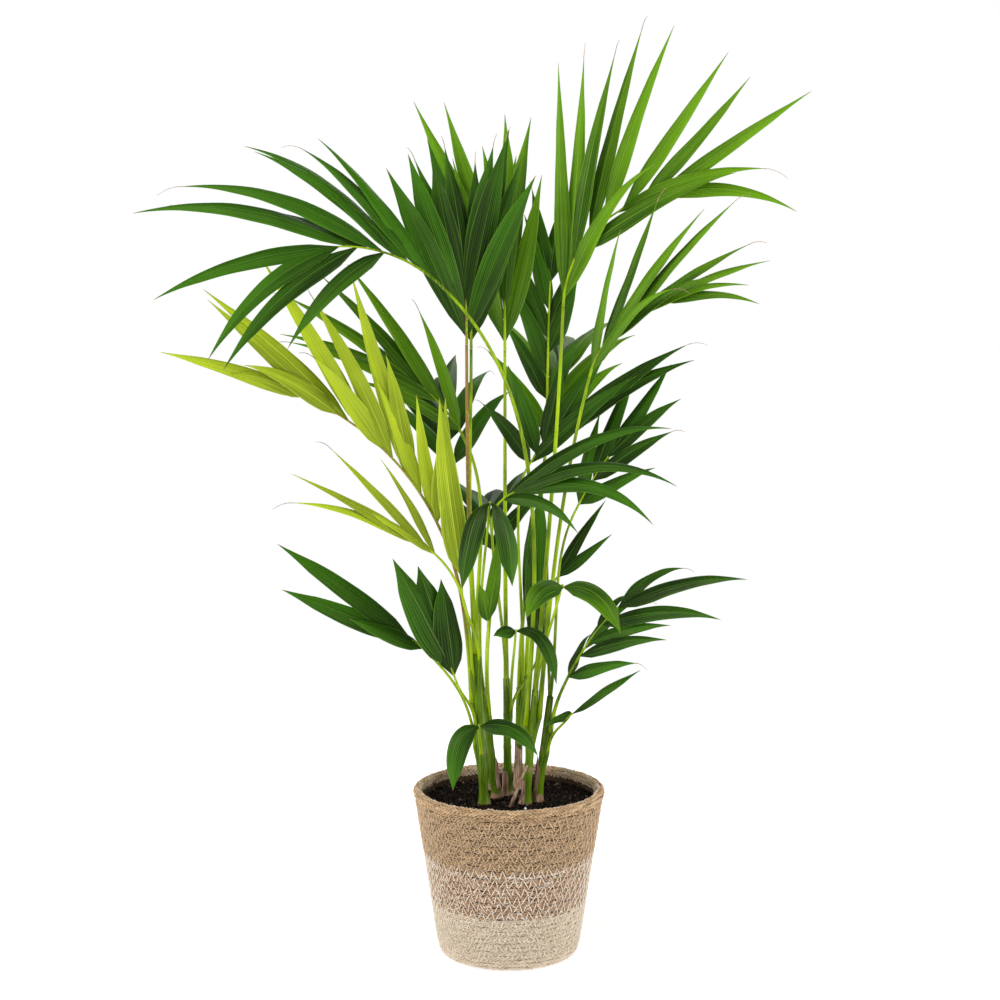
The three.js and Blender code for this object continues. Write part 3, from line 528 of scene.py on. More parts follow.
def blade_line(plan, share, seed):
    """The places along a leaflet's midrib, its ways, and the ways across it and out of its face. Each
    leaflet twists, bends to a side, arches and ripples a little in its own way."""
    steps = sinking(plan, (share[:-1] + share[1:]) / 2) * (np.diff(share) * plan['length'])[:, None]
    places = np.vstack([plan['root'], plan['root'] + np.cumsum(steps, axis=0)])
    ways = sinking(plan, share)
    normals = units(plan['face'] - ways * (ways @ plan['face'])[:, None])
    across = np.cross(ways, normals)
    twist = (np.radians(TWIST * wobble(seed, 1, 3)) * share)[:, None]
    across, normals = (across * np.cos(twist) + normals * np.sin(twist),
                       normals * np.cos(twist) - across * np.sin(twist))
    bow = BOW * plan['length'] * wobble(seed, 2, 3) * np.sin(np.pi * share)
    arch = ARCH * plan['length'] * (0.5 + wobble(seed, 5, 3)) * np.sin(np.pi * share)
    waves = np.sin(share * plan['length'] / RIPPLE_REACH + 6 * wobble(seed, 6, 3))
    ripple = RIPPLE * waves * share * (1 - share) * 4
    return places + across * bow[:, None] + normals * (arch + ripple)[:, None], ways, across, normals


def blade(skin, plan, tone, seed):
    """One leaflet: pleated between its veins, keeled along its midrib, narrow at its root, and pointed.
    Its marks are the place across, the place along, and its tone, with UNDERSIDE added on the underside.
    Gives back where its tip is and which way it points."""
    share = np.linspace(0, 1, BLADE_STEPS + 1) ** STATION_POWER
    places, ways, across, normals = blade_line(plan, share, seed)
    root = ROOT_PINCH + (1 - ROOT_PINCH) * np.clip(share / ROOT_ENDS, 0, 1) ** 0.8
    tip = 1 - TIP_PINCH * np.clip((share - TIP_FROM) / (1 - TIP_FROM), 0, 1)
    half = plan['width'] / 2 * width_share(share, plan) * root * tip + LEAST_HALF
    flat = np.clip(half / (plan['width'] / 2), 0, 1)[:, None]
    # A ring of points runs over the top from edge to edge, and back along the underside
    spots = np.linspace(-1, 1, 2 * BLADE_HALF + 1)
    below = spots * np.where(np.abs(spots) == 1, UNDERSIDE_WIDTH, 1)
    ring_spots = np.concatenate([spots, below[::-1]])
    side = np.concatenate([np.ones(len(spots)), -np.ones(len(spots))])
    side[0] = side[len(spots) - 1] = 0
    fold = np.where(np.arange(len(spots)) % 2 == 0, 1.0, -1.0)
    fold[BLADE_HALF] = MIDRIB_FOLD
    pleats = PLEAT * plan['width'] * np.concatenate([fold, fold[::-1]]) * flat
    keel = KEEL * half[:, None] * np.abs(ring_spots) ** 1.3
    wave = EDGE_WAVE * np.sin(share * (9 + 3 * wobble(seed, 3, 3)) + 6 * wobble(seed, 4, 3))
    waves = wave[:, None] * np.abs(ring_spots) ** 2 * np.sign(ring_spots) * flat
    heights = pleats - keel + waves + side * BLADE_THICKNESS / 2 * (0.35 + 0.65 * flat)
    rings = (places[:, None, :] + across[:, None, :] * (half[:, None] * ring_spots)[..., None]
             + normals[:, None, :] * heights[..., None])
    marks = np.empty(rings.shape)
    marks[..., 0] = ring_spots
    marks[..., 1] = share[:, None]
    # One half of a blade is painted a little lighter and the other a little darker: painted light and shade,
    # as a keeled blade turns one half to the light
    marks[..., 2] = tone + 0.6 * wobble(seed, 7, 3) * ring_spots + np.where(side < 0, UNDERSIDE, 0)
    skin.grid(rings[:, ::-1], marks[:, ::-1])
    return places[-1], ways[-1]


# Materials

def linear(code):
    """A colour written as sRGB hex, as the four linear numbers that the shaders take."""
    parts = [int(code[i:i + 2], 16) / 255 for i in (1, 3, 5)]
    return tuple(c / 12.92 if c <= 0.04045 else ((c + 0.055) / 1.055) ** 2.4 for c in parts) + (1.0,)


def fineness(size):
    """The Scale of a pattern that repeats about every so many millimetres, on a mesh in metres."""
    return 1 / (size * MM)


def new_material(name, roughness, specular):
    """A Principled material, its node tree, and its shader."""
    material = bpy.data.materials.new(name)
    material.use_nodes = True
    shader = material.node_tree.nodes['Principled BSDF']
    shader.inputs['Roughness'].default_value = roughness
    shader.inputs['Specular IOR Level'].default_value = specular
    return material, material.node_tree, shader


def add_node(tree, kind, inputs, output=0, **settings):
    """Adds a node with its settings, and gives back one output. Each input is a socket to link, a number,
    a vector or a hex colour."""
    node = tree.nodes.new(kind)
    for key, value in settings.items():
        setattr(node, key, value)
    for key, value in inputs.items():
        if isinstance(value, bpy.types.NodeSocket):
            tree.links.new(value, node.inputs[key])
        else:
            node.inputs[key].default_value = linear(value) if isinstance(value, str) else value
    return node.outputs[output]


# The inputs of a colour Mix node: how much of the second colour, the first, and the second
SHARE, FIRST, SECOND = 0, 6, 7
MIXED = dict(kind='ShaderNodeMix', output=2, data_type='RGBA')
# The inputs of a Map Range node: a value, the range it has, and the range that it is brought to, which is
# 0 to 1 where nothing else is given
VALUE, FROM_MIN, FROM_MAX, TO_MIN, TO_MAX = range(5)
RANGED = dict(kind='ShaderNodeMapRange')


def leaf_material(name, light, middle, shade, vein, dry_from):
    """A living palm leaflet, a waxy pleated blade: satin, with pale veins and a lighter, duller underside.
    Marks: x is the place across from -1 to 1, y along from 0 to 1, and z the leaflet's tone, partly its
    own and partly painted light and shade, to which UNDERSIDE is added on the underside."""
    material, tree, shader = new_material(name, roughness=0.45, specular=0.22)
    marks = add_node(tree, 'ShaderNodeAttribute', {}, 'Vector', attribute_name='marks')
    across, along, tone = add_node(tree, 'ShaderNodeSeparateXYZ', {0: marks}).node.outputs
    under = add_node(tree, 'ShaderNodeMath', {0: tone, 1: UNDERSIDE / 2 + 0.1}, operation='GREATER_THAN')
    tone = add_node(tree, 'ShaderNodeMath', {0: under, 1: -UNDERSIDE, 2: tone}, operation='MULTIPLY_ADD')
    place = add_node(tree, 'ShaderNodeTexCoord', {}, 'Object')
    # Soft patches about 45 mm long, as on a leaf that grew unevenly
    patch = add_node(tree, 'ShaderNodeTexNoise', {'Vector': place, 'Scale': fineness(45.5), 'Detail': 2.0})
    tone = add_node(tree, 'ShaderNodeMath', {0: tone, 1: patch}, operation='ADD')
    # Darker at its root and lighter towards its tip: painted shade where the leaflets crowd together at the
    # rib
    tone = add_node(tree, 'ShaderNodeMath', {0: along, 1: 1.7, 2: tone}, operation='MULTIPLY_ADD')
    tone = add_node(tree, inputs={VALUE: tone, FROM_MIN: 0.65, FROM_MAX: 2.3}, **RANGED)
    base = add_node(tree, inputs={SHARE: tone, FIRST: shade, SECOND: light}, **MIXED)
    base = add_node(tree, inputs={SHARE: 0.25, FIRST: base, SECOND: middle}, **MIXED)
    # Fibres run along the blade. Real ones are 0.2 mm apart, and these are 0.92 mm apart on a leaflet of
    # the usual width, so that they show. Its tone shifts them, so that no two leaflets are alike
    fibre_places = (USUAL_WIDTH / 2 / 0.92, 1.2, 5.0)
    stretched = add_node(tree, 'ShaderNodeVectorMath', {0: marks, 1: fibre_places}, operation='MULTIPLY')
    fibre = add_node(tree, 'ShaderNodeTexNoise', {'Vector': stretched, 'Scale': 1.0, 'Detail': 2.0})
    streak = add_node(tree, inputs={VALUE: fibre, FROM_MIN: 0.5, FROM_MAX: 0.75, TO_MAX: 0.6}, **RANGED)
    base = add_node(tree, inputs={SHARE: streak, FIRST: base, SECOND: light}, **MIXED)
    streak = add_node(tree, inputs={VALUE: fibre, FROM_MIN: 0.48, FROM_MAX: 0.28, TO_MAX: 0.55}, **RANGED)
    base = add_node(tree, inputs={SHARE: streak, FIRST: base, SECOND: shade}, **MIXED)
    # Veins 2 mm apart on a leaflet of the usual width: pale lines, with painted shade in the furrow between
    # them
    veins = add_node(tree, 'ShaderNodeMath', {0: across, 1: VEINS}, operation='MULTIPLY')
    wave = add_node(tree, 'ShaderNodeMath', {0: veins, 1: 0.5}, operation='PINGPONG')
    furrow_shade = add_node(tree, inputs={VALUE: wave, FROM_MIN: 0.22, FROM_MAX: 0.5, TO_MAX: 0.48}, **RANGED)
    base = add_node(tree, inputs={SHARE: furrow_shade, FIRST: base, SECOND: shade}, **MIXED)
    line = add_node(tree, inputs={VALUE: wave, FROM_MIN: 0.16, FROM_MAX: 0.0, TO_MAX: 0.2}, **RANGED)
    beside = add_node(tree, 'ShaderNodeMath', {0: across}, operation='ABSOLUTE')
    midrib = add_node(tree, inputs={VALUE: beside, FROM_MIN: 0.05, FROM_MAX: 0.01, TO_MAX: 0.4}, **RANGED)
    lines = add_node(tree, 'ShaderNodeMath', {0: line, 1: midrib}, operation='MAXIMUM')
    # The blade's edge is a thin pale line too
    edge = add_node(tree, inputs={VALUE: beside, FROM_MIN: 0.9, FROM_MAX: 1.0, TO_MAX: 0.5}, **RANGED)
    lines = add_node(tree, 'ShaderNodeMath', {0: lines, 1: edge}, operation='MAXIMUM')
    base = add_node(tree, inputs={SHARE: lines, FIRST: base, SECOND: vein}, **MIXED)
    paler = add_node(tree, 'ShaderNodeMath', {0: under, 1: 0.3}, operation='MULTIPLY')
    base = add_node(tree, inputs={SHARE: paler, FIRST: base, SECOND: light}, **MIXED)
    # The last few millimetres of some leaflets are dry
    point = add_node(tree, inputs={VALUE: along, FROM_MIN: dry_from, FROM_MAX: 1.0}, **RANGED)
    picked = add_node(tree, inputs={VALUE: tone, FROM_MIN: 0.55, FROM_MAX: 0.75}, **RANGED)
    dry = add_node(tree, 'ShaderNodeMath', {0: point, 1: picked}, operation='MULTIPLY')
    base = add_node(tree, inputs={SHARE: dry, FIRST: base, SECOND: '#8a6a42'}, **MIXED)
    gloss = {VALUE: fibre, FROM_MIN: 0.25, FROM_MAX: 0.75, TO_MIN: 0.38, TO_MAX: 0.56}
    gloss = add_node(tree, inputs=gloss, **RANGED)
    tree.links.new(base, shader.inputs['Base Color'])
    tree.links.new(gloss, shader.inputs['Roughness'])
    # Its wax tints what it reflects
    shader.inputs['Specular Tint'].default_value = linear('#e7ffb3')
    # Light that enters the blade comes out a little way off, greener
    shader.inputs['Subsurface Weight'].default_value = 0.08
    shader.inputs['Subsurface Radius'].default_value = (0.3, 0.6, 0.1)
    shader.inputs['Subsurface Scale'].default_value = 2 * MM
    return material


def stalk_material(name, low, high, streak, scar):
    """A smooth live stalk, satin, in greens from low to high, with fine streaks along it. Marks: z is how
    brown and dry it is."""
    material, tree, shader = new_material(name, roughness=0.34, specular=0.25)
    marks = add_node(tree, 'ShaderNodeAttribute', {}, 'Vector', attribute_name='marks')
    brown = add_node(tree, 'ShaderNodeSeparateXYZ', {0: marks}, 'Z')
    place = add_node(tree, 'ShaderNodeTexCoord', {}, 'Object')
    # Patches some 80 mm long
    patch = add_node(tree, 'ShaderNodeTexNoise', {'Vector': place, 'Scale': fineness(83)})
    patch = add_node(tree, inputs={VALUE: patch, FROM_MIN: 0.35, FROM_MAX: 0.65}, **RANGED)
    base = add_node(tree, inputs={SHARE: patch, FIRST: low, SECOND: high}, **MIXED)
    # Streaks 2 mm apart and some 40 mm long
    longer = add_node(tree, 'ShaderNodeVectorMath', {0: place, 1: (1.0, 1.0, 0.05)}, operation='MULTIPLY')
    fibre = add_node(tree, 'ShaderNodeTexNoise', {'Vector': longer, 'Scale': fineness(1.92), 'Detail': 2.0})
    streaks = add_node(tree, inputs={VALUE: fibre, FROM_MIN: 0.45, FROM_MAX: 0.8, TO_MAX: 0.4}, **RANGED)
    base = add_node(tree, inputs={SHARE: streaks, FIRST: base, SECOND: streak}, **MIXED)
    # Flecks of 4 mm make the edge of a dry place ragged
    fleck = add_node(tree, 'ShaderNodeTexNoise', {'Vector': place, 'Scale': fineness(3.85), 'Detail': 3.0})
    ragged = add_node(tree, 'ShaderNodeMath', {0: brown, 1: fleck}, operation='ADD')
    dry = add_node(tree, inputs={VALUE: ragged, FROM_MIN: 0.75, FROM_MAX: 1.05}, **RANGED)
    base = add_node(tree, inputs={SHARE: dry, FIRST: base, SECOND: scar}, **MIXED)
    gloss = add_node(tree, inputs={VALUE: dry, TO_MIN: 0.34, TO_MAX: 0.75}, **RANGED)
    relief = add_node(tree, 'ShaderNodeBump', {'Height': fibre, 'Strength': 0.25, 'Distance': 0.5 * MM})
    tree.links.new(base, shader.inputs['Base Color'])
    tree.links.new(gloss, shader.inputs['Roughness'])
    tree.links.new(relief, shader.inputs['Normal'])
    shader.inputs['Specular Tint'].default_value = linear('#f3ffbc')
    return material


def sheath_material(name):
    """A dead leaf base, dry as paper: dull, pinkish tan, with darker fibres along it."""
    material, tree, shader = new_material(name, roughness=0.8, specular=0.2)
    place = add_node(tree, 'ShaderNodeTexCoord', {}, 'Object')
    # Fibres 2.4 mm apart and some 40 mm long
    longer = add_node(tree, 'ShaderNodeVectorMath', {0: place, 1: (1.0, 1.0, 0.06)}, operation='MULTIPLY')
    fibre = add_node(tree, 'ShaderNodeTexNoise', {'Vector': longer, 'Scale': fineness(2.38), 'Detail': 3.0})
    share = add_node(tree, inputs={VALUE: fibre, FROM_MIN: 0.35, FROM_MAX: 0.7}, **RANGED)
    base = add_node(tree, inputs={SHARE: share, FIRST: '#745641', SECOND: '#c6a68f'}, **MIXED)
    # Stains of 18 mm
    patch = add_node(tree, 'ShaderNodeTexNoise', {'Vector': place, 'Scale': fineness(18.2), 'Detail': 3.0})
    share = add_node(tree, inputs={VALUE: patch, FROM_MIN: 0.5, FROM_MAX: 0.68, TO_MAX: 0.6}, **RANGED)
    base = add_node(tree, inputs={SHARE: share, FIRST: base, SECOND: '#58402c'}, **MIXED)
    relief = add_node(tree, 'ShaderNodeBump', {'Height': fibre, 'Strength': 0.5, 'Distance': 0.8 * MM})
    tree.links.new(base, shader.inputs['Base Color'])
    tree.links.new(relief, shader.inputs['Normal'])
    return material


def jute_material(name, yarn, light, dark):
    """Braided jute: dull hairy fibre that scatters light, with shade painted between its strands. Marks: x is
    the turn round the strand in radians, y the millimetres along it, and z its tone, from painted shade at -1
    to white at 1."""
    material, tree, shader = new_material(name, roughness=0.92, specular=0.2)
    marks = add_node(tree, 'ShaderNodeAttribute', {}, 'Vector', attribute_name='marks')
    tone = add_node(tree, 'ShaderNodeSeparateXYZ', {0: marks}, 'Z')
    place = add_node(tree, 'ShaderNodeTexCoord', {}, 'Object')
    # Fibres of 0.1 mm are drawn 0.46 mm apart, four times as long, so that they show
    fibre_places = (STRAND / 0.46, 1 / 1.82, 3.0)
    stretched = add_node(tree, 'ShaderNodeVectorMath', {0: marks, 1: fibre_places}, operation='MULTIPLY')
    fibre = add_node(tree, 'ShaderNodeTexNoise', {'Vector': stretched, 'Scale': 1.0, 'Detail': 4.0})
    share = add_node(tree, inputs={VALUE: fibre, FROM_MIN: 0.3, FROM_MAX: 0.7}, **RANGED)
    base = add_node(tree, inputs={SHARE: share, FIRST: yarn, SECOND: light}, **MIXED)
    # Uneven dye in blotches of 6 mm
    blotch = add_node(tree, 'ShaderNodeTexNoise', {'Vector': place, 'Scale': fineness(6.25), 'Detail': 3.0})
    share = add_node(tree, inputs={VALUE: blotch, FROM_MIN: 0.5, FROM_MAX: 0.85, TO_MAX: 0.4}, **RANGED)
    base = add_node(tree, inputs={SHARE: share, FIRST: base, SECOND: dark}, **MIXED)
    white = add_node(tree, inputs={VALUE: tone, FROM_MIN: 0.0, FROM_MAX: 1.0}, **RANGED)
    base = add_node(tree, inputs={SHARE: white, FIRST: base, SECOND: '#f1ece0'}, **MIXED)
    # Painted shade: a tone below 0 darkens the yarn towards the dark colour, between the strands and on the
    # wall behind them
    deep = add_node(tree, inputs={VALUE: tone, FROM_MIN: 0.0, FROM_MAX: -1.0}, **RANGED)
    base = add_node(tree, inputs={SHARE: deep, FIRST: base, SECOND: dark}, **MIXED)
    relief = add_node(tree, 'ShaderNodeBump', {'Height': fibre, 'Strength': 0.6, 'Distance': 0.6 * MM})
    tree.links.new(base, shader.inputs['Base Color'])
    tree.links.new(relief, shader.inputs['Normal'])
    shader.inputs['Sheen Weight'].default_value = 0.25
    shader.inputs['Sheen Roughness'].default_value = 0.5
    return material


def soil_material(name):
    """Moist peat: almost black, matt and grainy, with paler crumbs. Marks: z is a crumb's paleness."""
    material, tree, shader = new_material(name, roughness=0.95, specular=0.1)
    marks = add_node(tree, 'ShaderNodeAttribute', {}, 'Vector', attribute_name='marks')
    pale = add_node(tree, 'ShaderNodeSeparateXYZ', {0: marks}, 'Z')
    place = add_node(tree, 'ShaderNodeTexCoord', {}, 'Object')
    # Grains of 0.7 mm, twice that from one to the next
    grain = add_node(tree, 'ShaderNodeTexNoise', {'Vector': place, 'Scale': fineness(1.43), 'Detail': 4.0})
    share = add_node(tree, inputs={VALUE: grain, FROM_MIN: 0.35, FROM_MAX: 0.75}, **RANGED)
    base = add_node(tree, inputs={SHARE: share, FIRST: '#070503', SECOND: '#1f1610'}, **MIXED)
    crumbs = add_node(tree, inputs={VALUE: pale, FROM_MIN: 0.1, FROM_MAX: 1.6}, **RANGED)
    base = add_node(tree, inputs={SHARE: crumbs, FIRST: base, SECOND: '#8f7c6a'}, **MIXED)
    white = add_node(tree, inputs={VALUE: pale, FROM_MIN: 2.0, FROM_MAX: 2.5}, **RANGED)
    base = add_node(tree, inputs={SHARE: white, FIRST: base, SECOND: '#efe9e2'}, **MIXED)
    relief = add_node(tree, 'ShaderNodeBump', {'Height': grain, 'Strength': 0.8, 'Distance': 1.2 * MM})
    tree.links.new(base, shader.inputs['Base Color'])
    tree.links.new(relief, shader.inputs['Normal'])
    return material


def floor_material(name):
    """Matt white board that glows, more towards its edge: painted light that thins the lamps' shadows and
    lets the board end in the white of the wall behind it."""
    material, tree, shader = new_material(name, roughness=0.9, specular=0.1)
    place = add_node(tree, 'ShaderNodeTexCoord', {}, 'Object')
    # A faint cloudiness, a third of a metre across
    cloud = add_node(tree, 'ShaderNodeTexNoise', {'Vector': place, 'Scale': fineness(333)})
    base = add_node(tree, inputs={SHARE: cloud, FIRST: '#adadac', SECOND: '#b2b2b2'}, **MIXED)
    distance = add_node(tree, 'ShaderNodeVectorMath', {0: place}, 'Value', operation='LENGTH')
    # Painted light: the board glows a little less near the basket than at its edge
    glow = {VALUE: distance, FROM_MIN: 0.12, FROM_MAX: 0.5, TO_MIN: 0.72, TO_MAX: 1.0}
    glow = add_node(tree, inputs=glow, interpolation_type='SMOOTHSTEP', **RANGED)
    tree.links.new(base, shader.inputs['Base Color'])
    tree.links.new(glow, shader.inputs['Emission Strength'])
    shader.inputs['Emission Color'].default_value = linear('#ffffff')
    return material


# The palm's leaves, their stalks and ribs

def stalk_groove(angles):
    """A stalk isn't quite round: a shallow channel runs along one side."""
    return 1 - 0.10 * np.exp(-((angles - np.pi) / 0.5) ** 2)


def stalk_limb(skin, leaf):
    """A leaf's stalk, a little thicker at its foot. The brown comes in above its green foot."""
    places = stalk_curve(leaf, 28)
    edge = direction(90, leaf['side'] + 180) if 'side' in leaf else sideways(leaf['heading'][0])
    foot_swell = 1 + 0.22 * np.exp(-np.linspace(0, 14, len(places)) ** 2)
    brown = BROWN.get(leaf['name'], 0) * np.clip(np.linspace(0, 1.8, len(places)), 0, 1)
    sizes = np.linspace(*stalk_radii(leaf), len(places)) * foot_swell
    tube(skin, places, sizes, 12, brown_marks(brown), edge, stalk_groove)


def rib_limb(skin, leaf, rib):
    """The rib that carries a leaf's leaflets. It goes on from the stalk, ever thinner."""
    places = rib[0][1:] if leaf.get('small') else rib[0]
    sizes = np.linspace(stalk_radii(leaf)[1], RIB_TIP_RADIUS, len(places)) * np.linspace(1, 0.8, len(places))
    brown = BROWN.get(leaf['name'], 0) * 0.7
    tube(skin, places, sizes, 10, (0, 0, brown), sideways(leaf['heading'][0]))


def dry_thread(skin, tip, way, length):
    """The dry thread that a leaflet ends in, which hangs a little."""
    reach = min(THREAD_LONGEST, THREAD_SHARE * length)
    places = [tip + reach * (way * s - np.array([0, 0, 0.4]) * s * s) for s in np.linspace(-0.1, 1, 8)]
    tube(skin, places, np.linspace(0.5, 0.25, 8), 4)


leaf_paint = {
    'deep': leaf_material('Mature palm leaf', light='#3f760d', middle='#113508', shade='#010703',
                          vein='#67982f', dry_from=0.97),
    'mid': leaf_material('Fresh palm leaf', light='#6d9e10', middle='#346808', shade='#0a2f04',
                         vein='#93b83a', dry_from=0.96),
    'pale': leaf_material('Young palm leaf', light='#b9cc26', middle='#93a617', shade='#5f7212',
                          vein='#d3de62', dry_from=0.95),
}
skins = {hue: Skin() for hue in leaf_paint}
stalks, sheaths = Skin(), Skin()
for number, leaf in enumerate(LEAVES):
    rib = rib_curve(leaf)
    stalk_limb(stalks, leaf)
    rib_limb(stalks, leaf, rib)
    for hand in (1, -1):
        for index in range(side_of(leaf, hand)['count']):
            plan = leaflet_plan(leaf, number, hand, index, rib)
            seed = number * 40 + index * 2 + (hand > 0)
            # A leaflet's own tone varies at random, and its leaf's painted light and shade is added to it
            tone = 0.65 * wobble(seed, 9, 3) + LEAF_LIGHT_AND_SHADE.get(leaf['name'], 0)
            tip, way = blade(skins[leaf['hue']], plan, tone, seed)
            # One leaflet in four ends in a dry thread
            if wobble(seed, 8, 3) > 0.5 and not leaf.get('small'):
                dry_thread(sheaths, tip, way, plan['length'])

for hue, skin in skins.items():
    nodes = ['frond_' + leaf['name'] for leaf in LEAVES if leaf['hue'] == hue]
    add_piece(skin, 'leaves_' + hue, leaf_paint[hue], nodes, crease=100)

stalk_paint = stalk_material('Palm leaf stalk', low='#3f5f02', high='#a0c008', streak='#cad82e',
                             scar='#8a6c38')
stalk_nodes = ['stalk_' + leaf['name'] for leaf in LEAVES if not leaf.get('small')]
add_piece(stalks, 'stalks', stalk_paint, stalk_nodes)


# The stems, the green bases of leaves that clasp them, and the papery sheaths of old leaves

def stem_lobes(angles):
    """A stem isn't quite round."""
    return 1 + 0.035 * np.cos(3 * angles) + 0.02 * np.cos(7 * angles)


def stem_limb(skin, stem, number):
    """A stem with ring scars where old leaves fell, brown at its foot and in one band."""
    foot, top, way, length = stem_axis(stem)
    heights = np.concatenate([np.linspace(0, 30, 12), np.linspace(34, length, 26)])
    scar_heights = (26 + 9 * wobble(number, 1, 1), 62, 104)
    scars = sum(0.35 * np.exp(-((heights - height) / 1.6) ** 2) for height in scar_heights)
    brown = (0.95 if number % 3 else 0.5) - heights / (16 + 8 * wobble(number, 2, 1))
    band = 0.5 * np.exp(-((heights - 70 - 30 * wobble(number, 4, 1)) / 5) ** 2)
    marks = brown_marks(np.clip(brown, 0, 1) + band)
    sizes = stem_radius(stem, heights) + scars
    tube(skin, foot + way * heights[:, None], sizes, 20, marks, (0, 1, 0), stem_lobes)


def leaf_base(skin, leaf):
    """The green sheath by which a stalk clasps its stem, narrowing from the stem's girth to the stalk's."""
    foot, top, way, length = stem_axis(leaf['stem'])
    fork = foot + way * fork_height(leaf)
    above = stalk_curve(leaf, 60)[:5]
    stalk_radius = stalk_radii(leaf)[0]
    side = direction(90, leaf['side'])
    share = np.linspace(0, 1, 16)
    out = share ** 1.6 * np.linalg.norm(above[0] - fork)
    line = fork - way * (CLASP * (1 - share))[:, None] + side * out[:, None]
    sizes = mix(stem_radius(leaf['stem'], fork_height(leaf)) + 0.5, stalk_radius + 0.45, share ** 0.8)
    sizes[0] -= 0.6
    line = np.vstack([line, above[1:]])
    sizes = np.append(sizes, np.linspace(sizes[-1], stalk_radius + 0.05, 4))
    brown = np.append(0.25 * (1 - share), np.zeros(4))
    tube(skin, line, sizes, 14, brown_marks(brown), side)


def sheath(skin, stem, number, foot, height, turn, sweep, loose):
    """A papery old leaf base: a thin shell part of the way round a stem, loose and ragged at its top."""
    base, top, way, length = stem_axis(stem)
    side = unit(np.cross(way, (0.0, 1.0, 0.1)))
    front = np.cross(way, side)
    levels, width = 14, 15
    across = np.linspace(-1, 1, width)
    angles = np.radians(turn + sweep / 2 * across)
    out = np.cos(angles)[:, None] * side + np.sin(angles)[:, None] * front
    ragged = 1 - 0.16 * np.abs(np.sin(angles * 3.1 + number)) - 0.3 * across ** 2
    rings = np.empty((levels, 2 * width, 3))
    for level, share in enumerate(np.linspace(0, 1, levels)):
        rise = foot + height * share * ragged
        radius = stem_radius(stem, np.maximum(rise, 0)) + 0.5 + loose * share ** 2.2
        radius = radius * (1 - 0.06 * share * across ** 2)
        thick = 0.75 * (1 - 0.5 * share)
        line = base + way * rise[:, None]
        rings[level, :width] = line + out * radius[:, None]
        rings[level, width:] = (line + out * (radius - thick)[:, None])[::-1]
    skin.grid(rings[:, ::-1], (0, 0, 0))


stems = Skin()
for number, stem in enumerate(STEMS):
    stem_limb(stems, stem, number)
    for layer in range(2):
        height = 26 + 18 * layer + 14 * wobble(number, layer, 1)
        turn = 150 * wobble(number, layer, 2) + 150 * layer
        foot, sweep, loose = -0.5 + 12 * layer, 104 - 24 * layer, 1.1 + 0.9 * layer
        sheath(sheaths, stem, number + layer, foot, height, turn, sweep, loose)
for leaf in LEAVES:
    if 'fork' in leaf:
        leaf_base(stems, leaf)
# A dry broken stalk that leans between the stems
broken_stalk = [(2, -38, SOIL_TOP - 1), (9, -36, 218), (17, -33, 238), (23, -31, 251)]
tube(sheaths, broken_stalk, [2.6, 2.2, 1.9, 1.2], 9)

stem_paint = stalk_material('Palm stem', low='#203c05', high='#567a08', streak='#93ad1c', scar='#94735c')
add_piece(stems, 'stems', stem_paint, ['stem_' + stem for stem in STEMS])
add_piece(sheaths, 'sheaths', sheath_material('Dry palm sheath'), crease=100)


# The basket: rows of three-strand braid follow a profile from the underside, up the side, over the rim

def outside(height):
    """The basket's outer radius at a height of its wall."""
    return mix(FOOT_RADIUS, NECK_RADIUS, (height - BOTTOM_EDGE) / (NECK_HEIGHT - BOTTOM_EDGE))


def arc(centre, radius, start, stop, steps):
    """Points of a profile on an arc."""
    angles = np.radians(np.linspace(start, stop, steps + 1))
    return [(centre[0] + radius * math.cos(a), centre[1] + radius * math.sin(a)) for a in angles]


def around(theta, radius, height):
    """Points round the basket's axis."""
    return np.column_stack([np.cos(theta) * radius, np.sin(theta) * radius, height])


def profile():
    """The line that the braids' middles follow, and its arc length. Inside, it ends below the soil's top."""
    inset = BRAID_DEPTH
    line = [(6, inset)]
    line += arc((FOOT_RADIUS - BOTTOM_EDGE, BOTTOM_EDGE), BOTTOM_EDGE - inset, -90, 0, 6)
    line += [(outside(h) - inset, h) for h in np.linspace(20, 202, 12)]
    line += arc((NECK_RADIUS - WALL / 2, BASKET_HEIGHT - ROLL_RADIUS), ROLL_RADIUS - inset, 0, 180, 10)
    line += [(outside(h) - WALL + inset, h) for h in (202, 196, 186)]
    line = np.array(line, float)
    length = np.concatenate([[0], np.cumsum(np.linalg.norm(np.diff(line, axis=0), axis=1))])
    return line, length


def row_at(line, length, distance):
    """Place, way up the profile and way out of it, for one distance along the profile."""
    place, ahead, behind = [np.array([np.interp(spot, length, line[:, i]) for i in (0, 1)])
                            for spot in (distance, distance + 0.8, distance - 0.8)]
    up = unit(ahead - behind)
    return place, up, np.array([up[1], -up[0]])


def end_lumps(theta):
    """1 where the last braid's ends are tucked in, and 0 away from there."""
    turns = [(theta - math.radians(end) + np.pi) % (2 * np.pi) - np.pi for end in BRAID_ENDS]
    return sum(np.exp(-(turn / 0.05) ** 2) for turn in turns)


def strand_line(spot, row, strand, waves, theta, girth):
    """One strand's middle line all the way round, and how far it stands out at each place."""
    place, up, out = spot
    uneven = 0.35 * np.sin(theta * 7 + row * 2.1) + 0.3 * np.sin(theta * 19 + row * 4.3)
    drift = 0.5 * np.sin(theta * 31 + row * 7 + strand)
    phase = waves * theta + strand * 2 * np.pi / STRANDS + row * 1.3 + drift
    rise = BRAID_WIDTH * girth * np.sin(phase) + uneven
    lumps = END_SWELL * end_lumps(theta) * (place[1] > NECK_HEIGHT + 4)
    depth = BRAID_SWELL * np.sin(2 * phase + 0.4) + 0.25 * np.sin(theta * 41 + row * 3) + lumps
    radius, height = place[0] + up[0] * rise + out[0] * depth, place[1] + up[1] * rise + out[1] * depth
    return around(theta, radius, height), depth


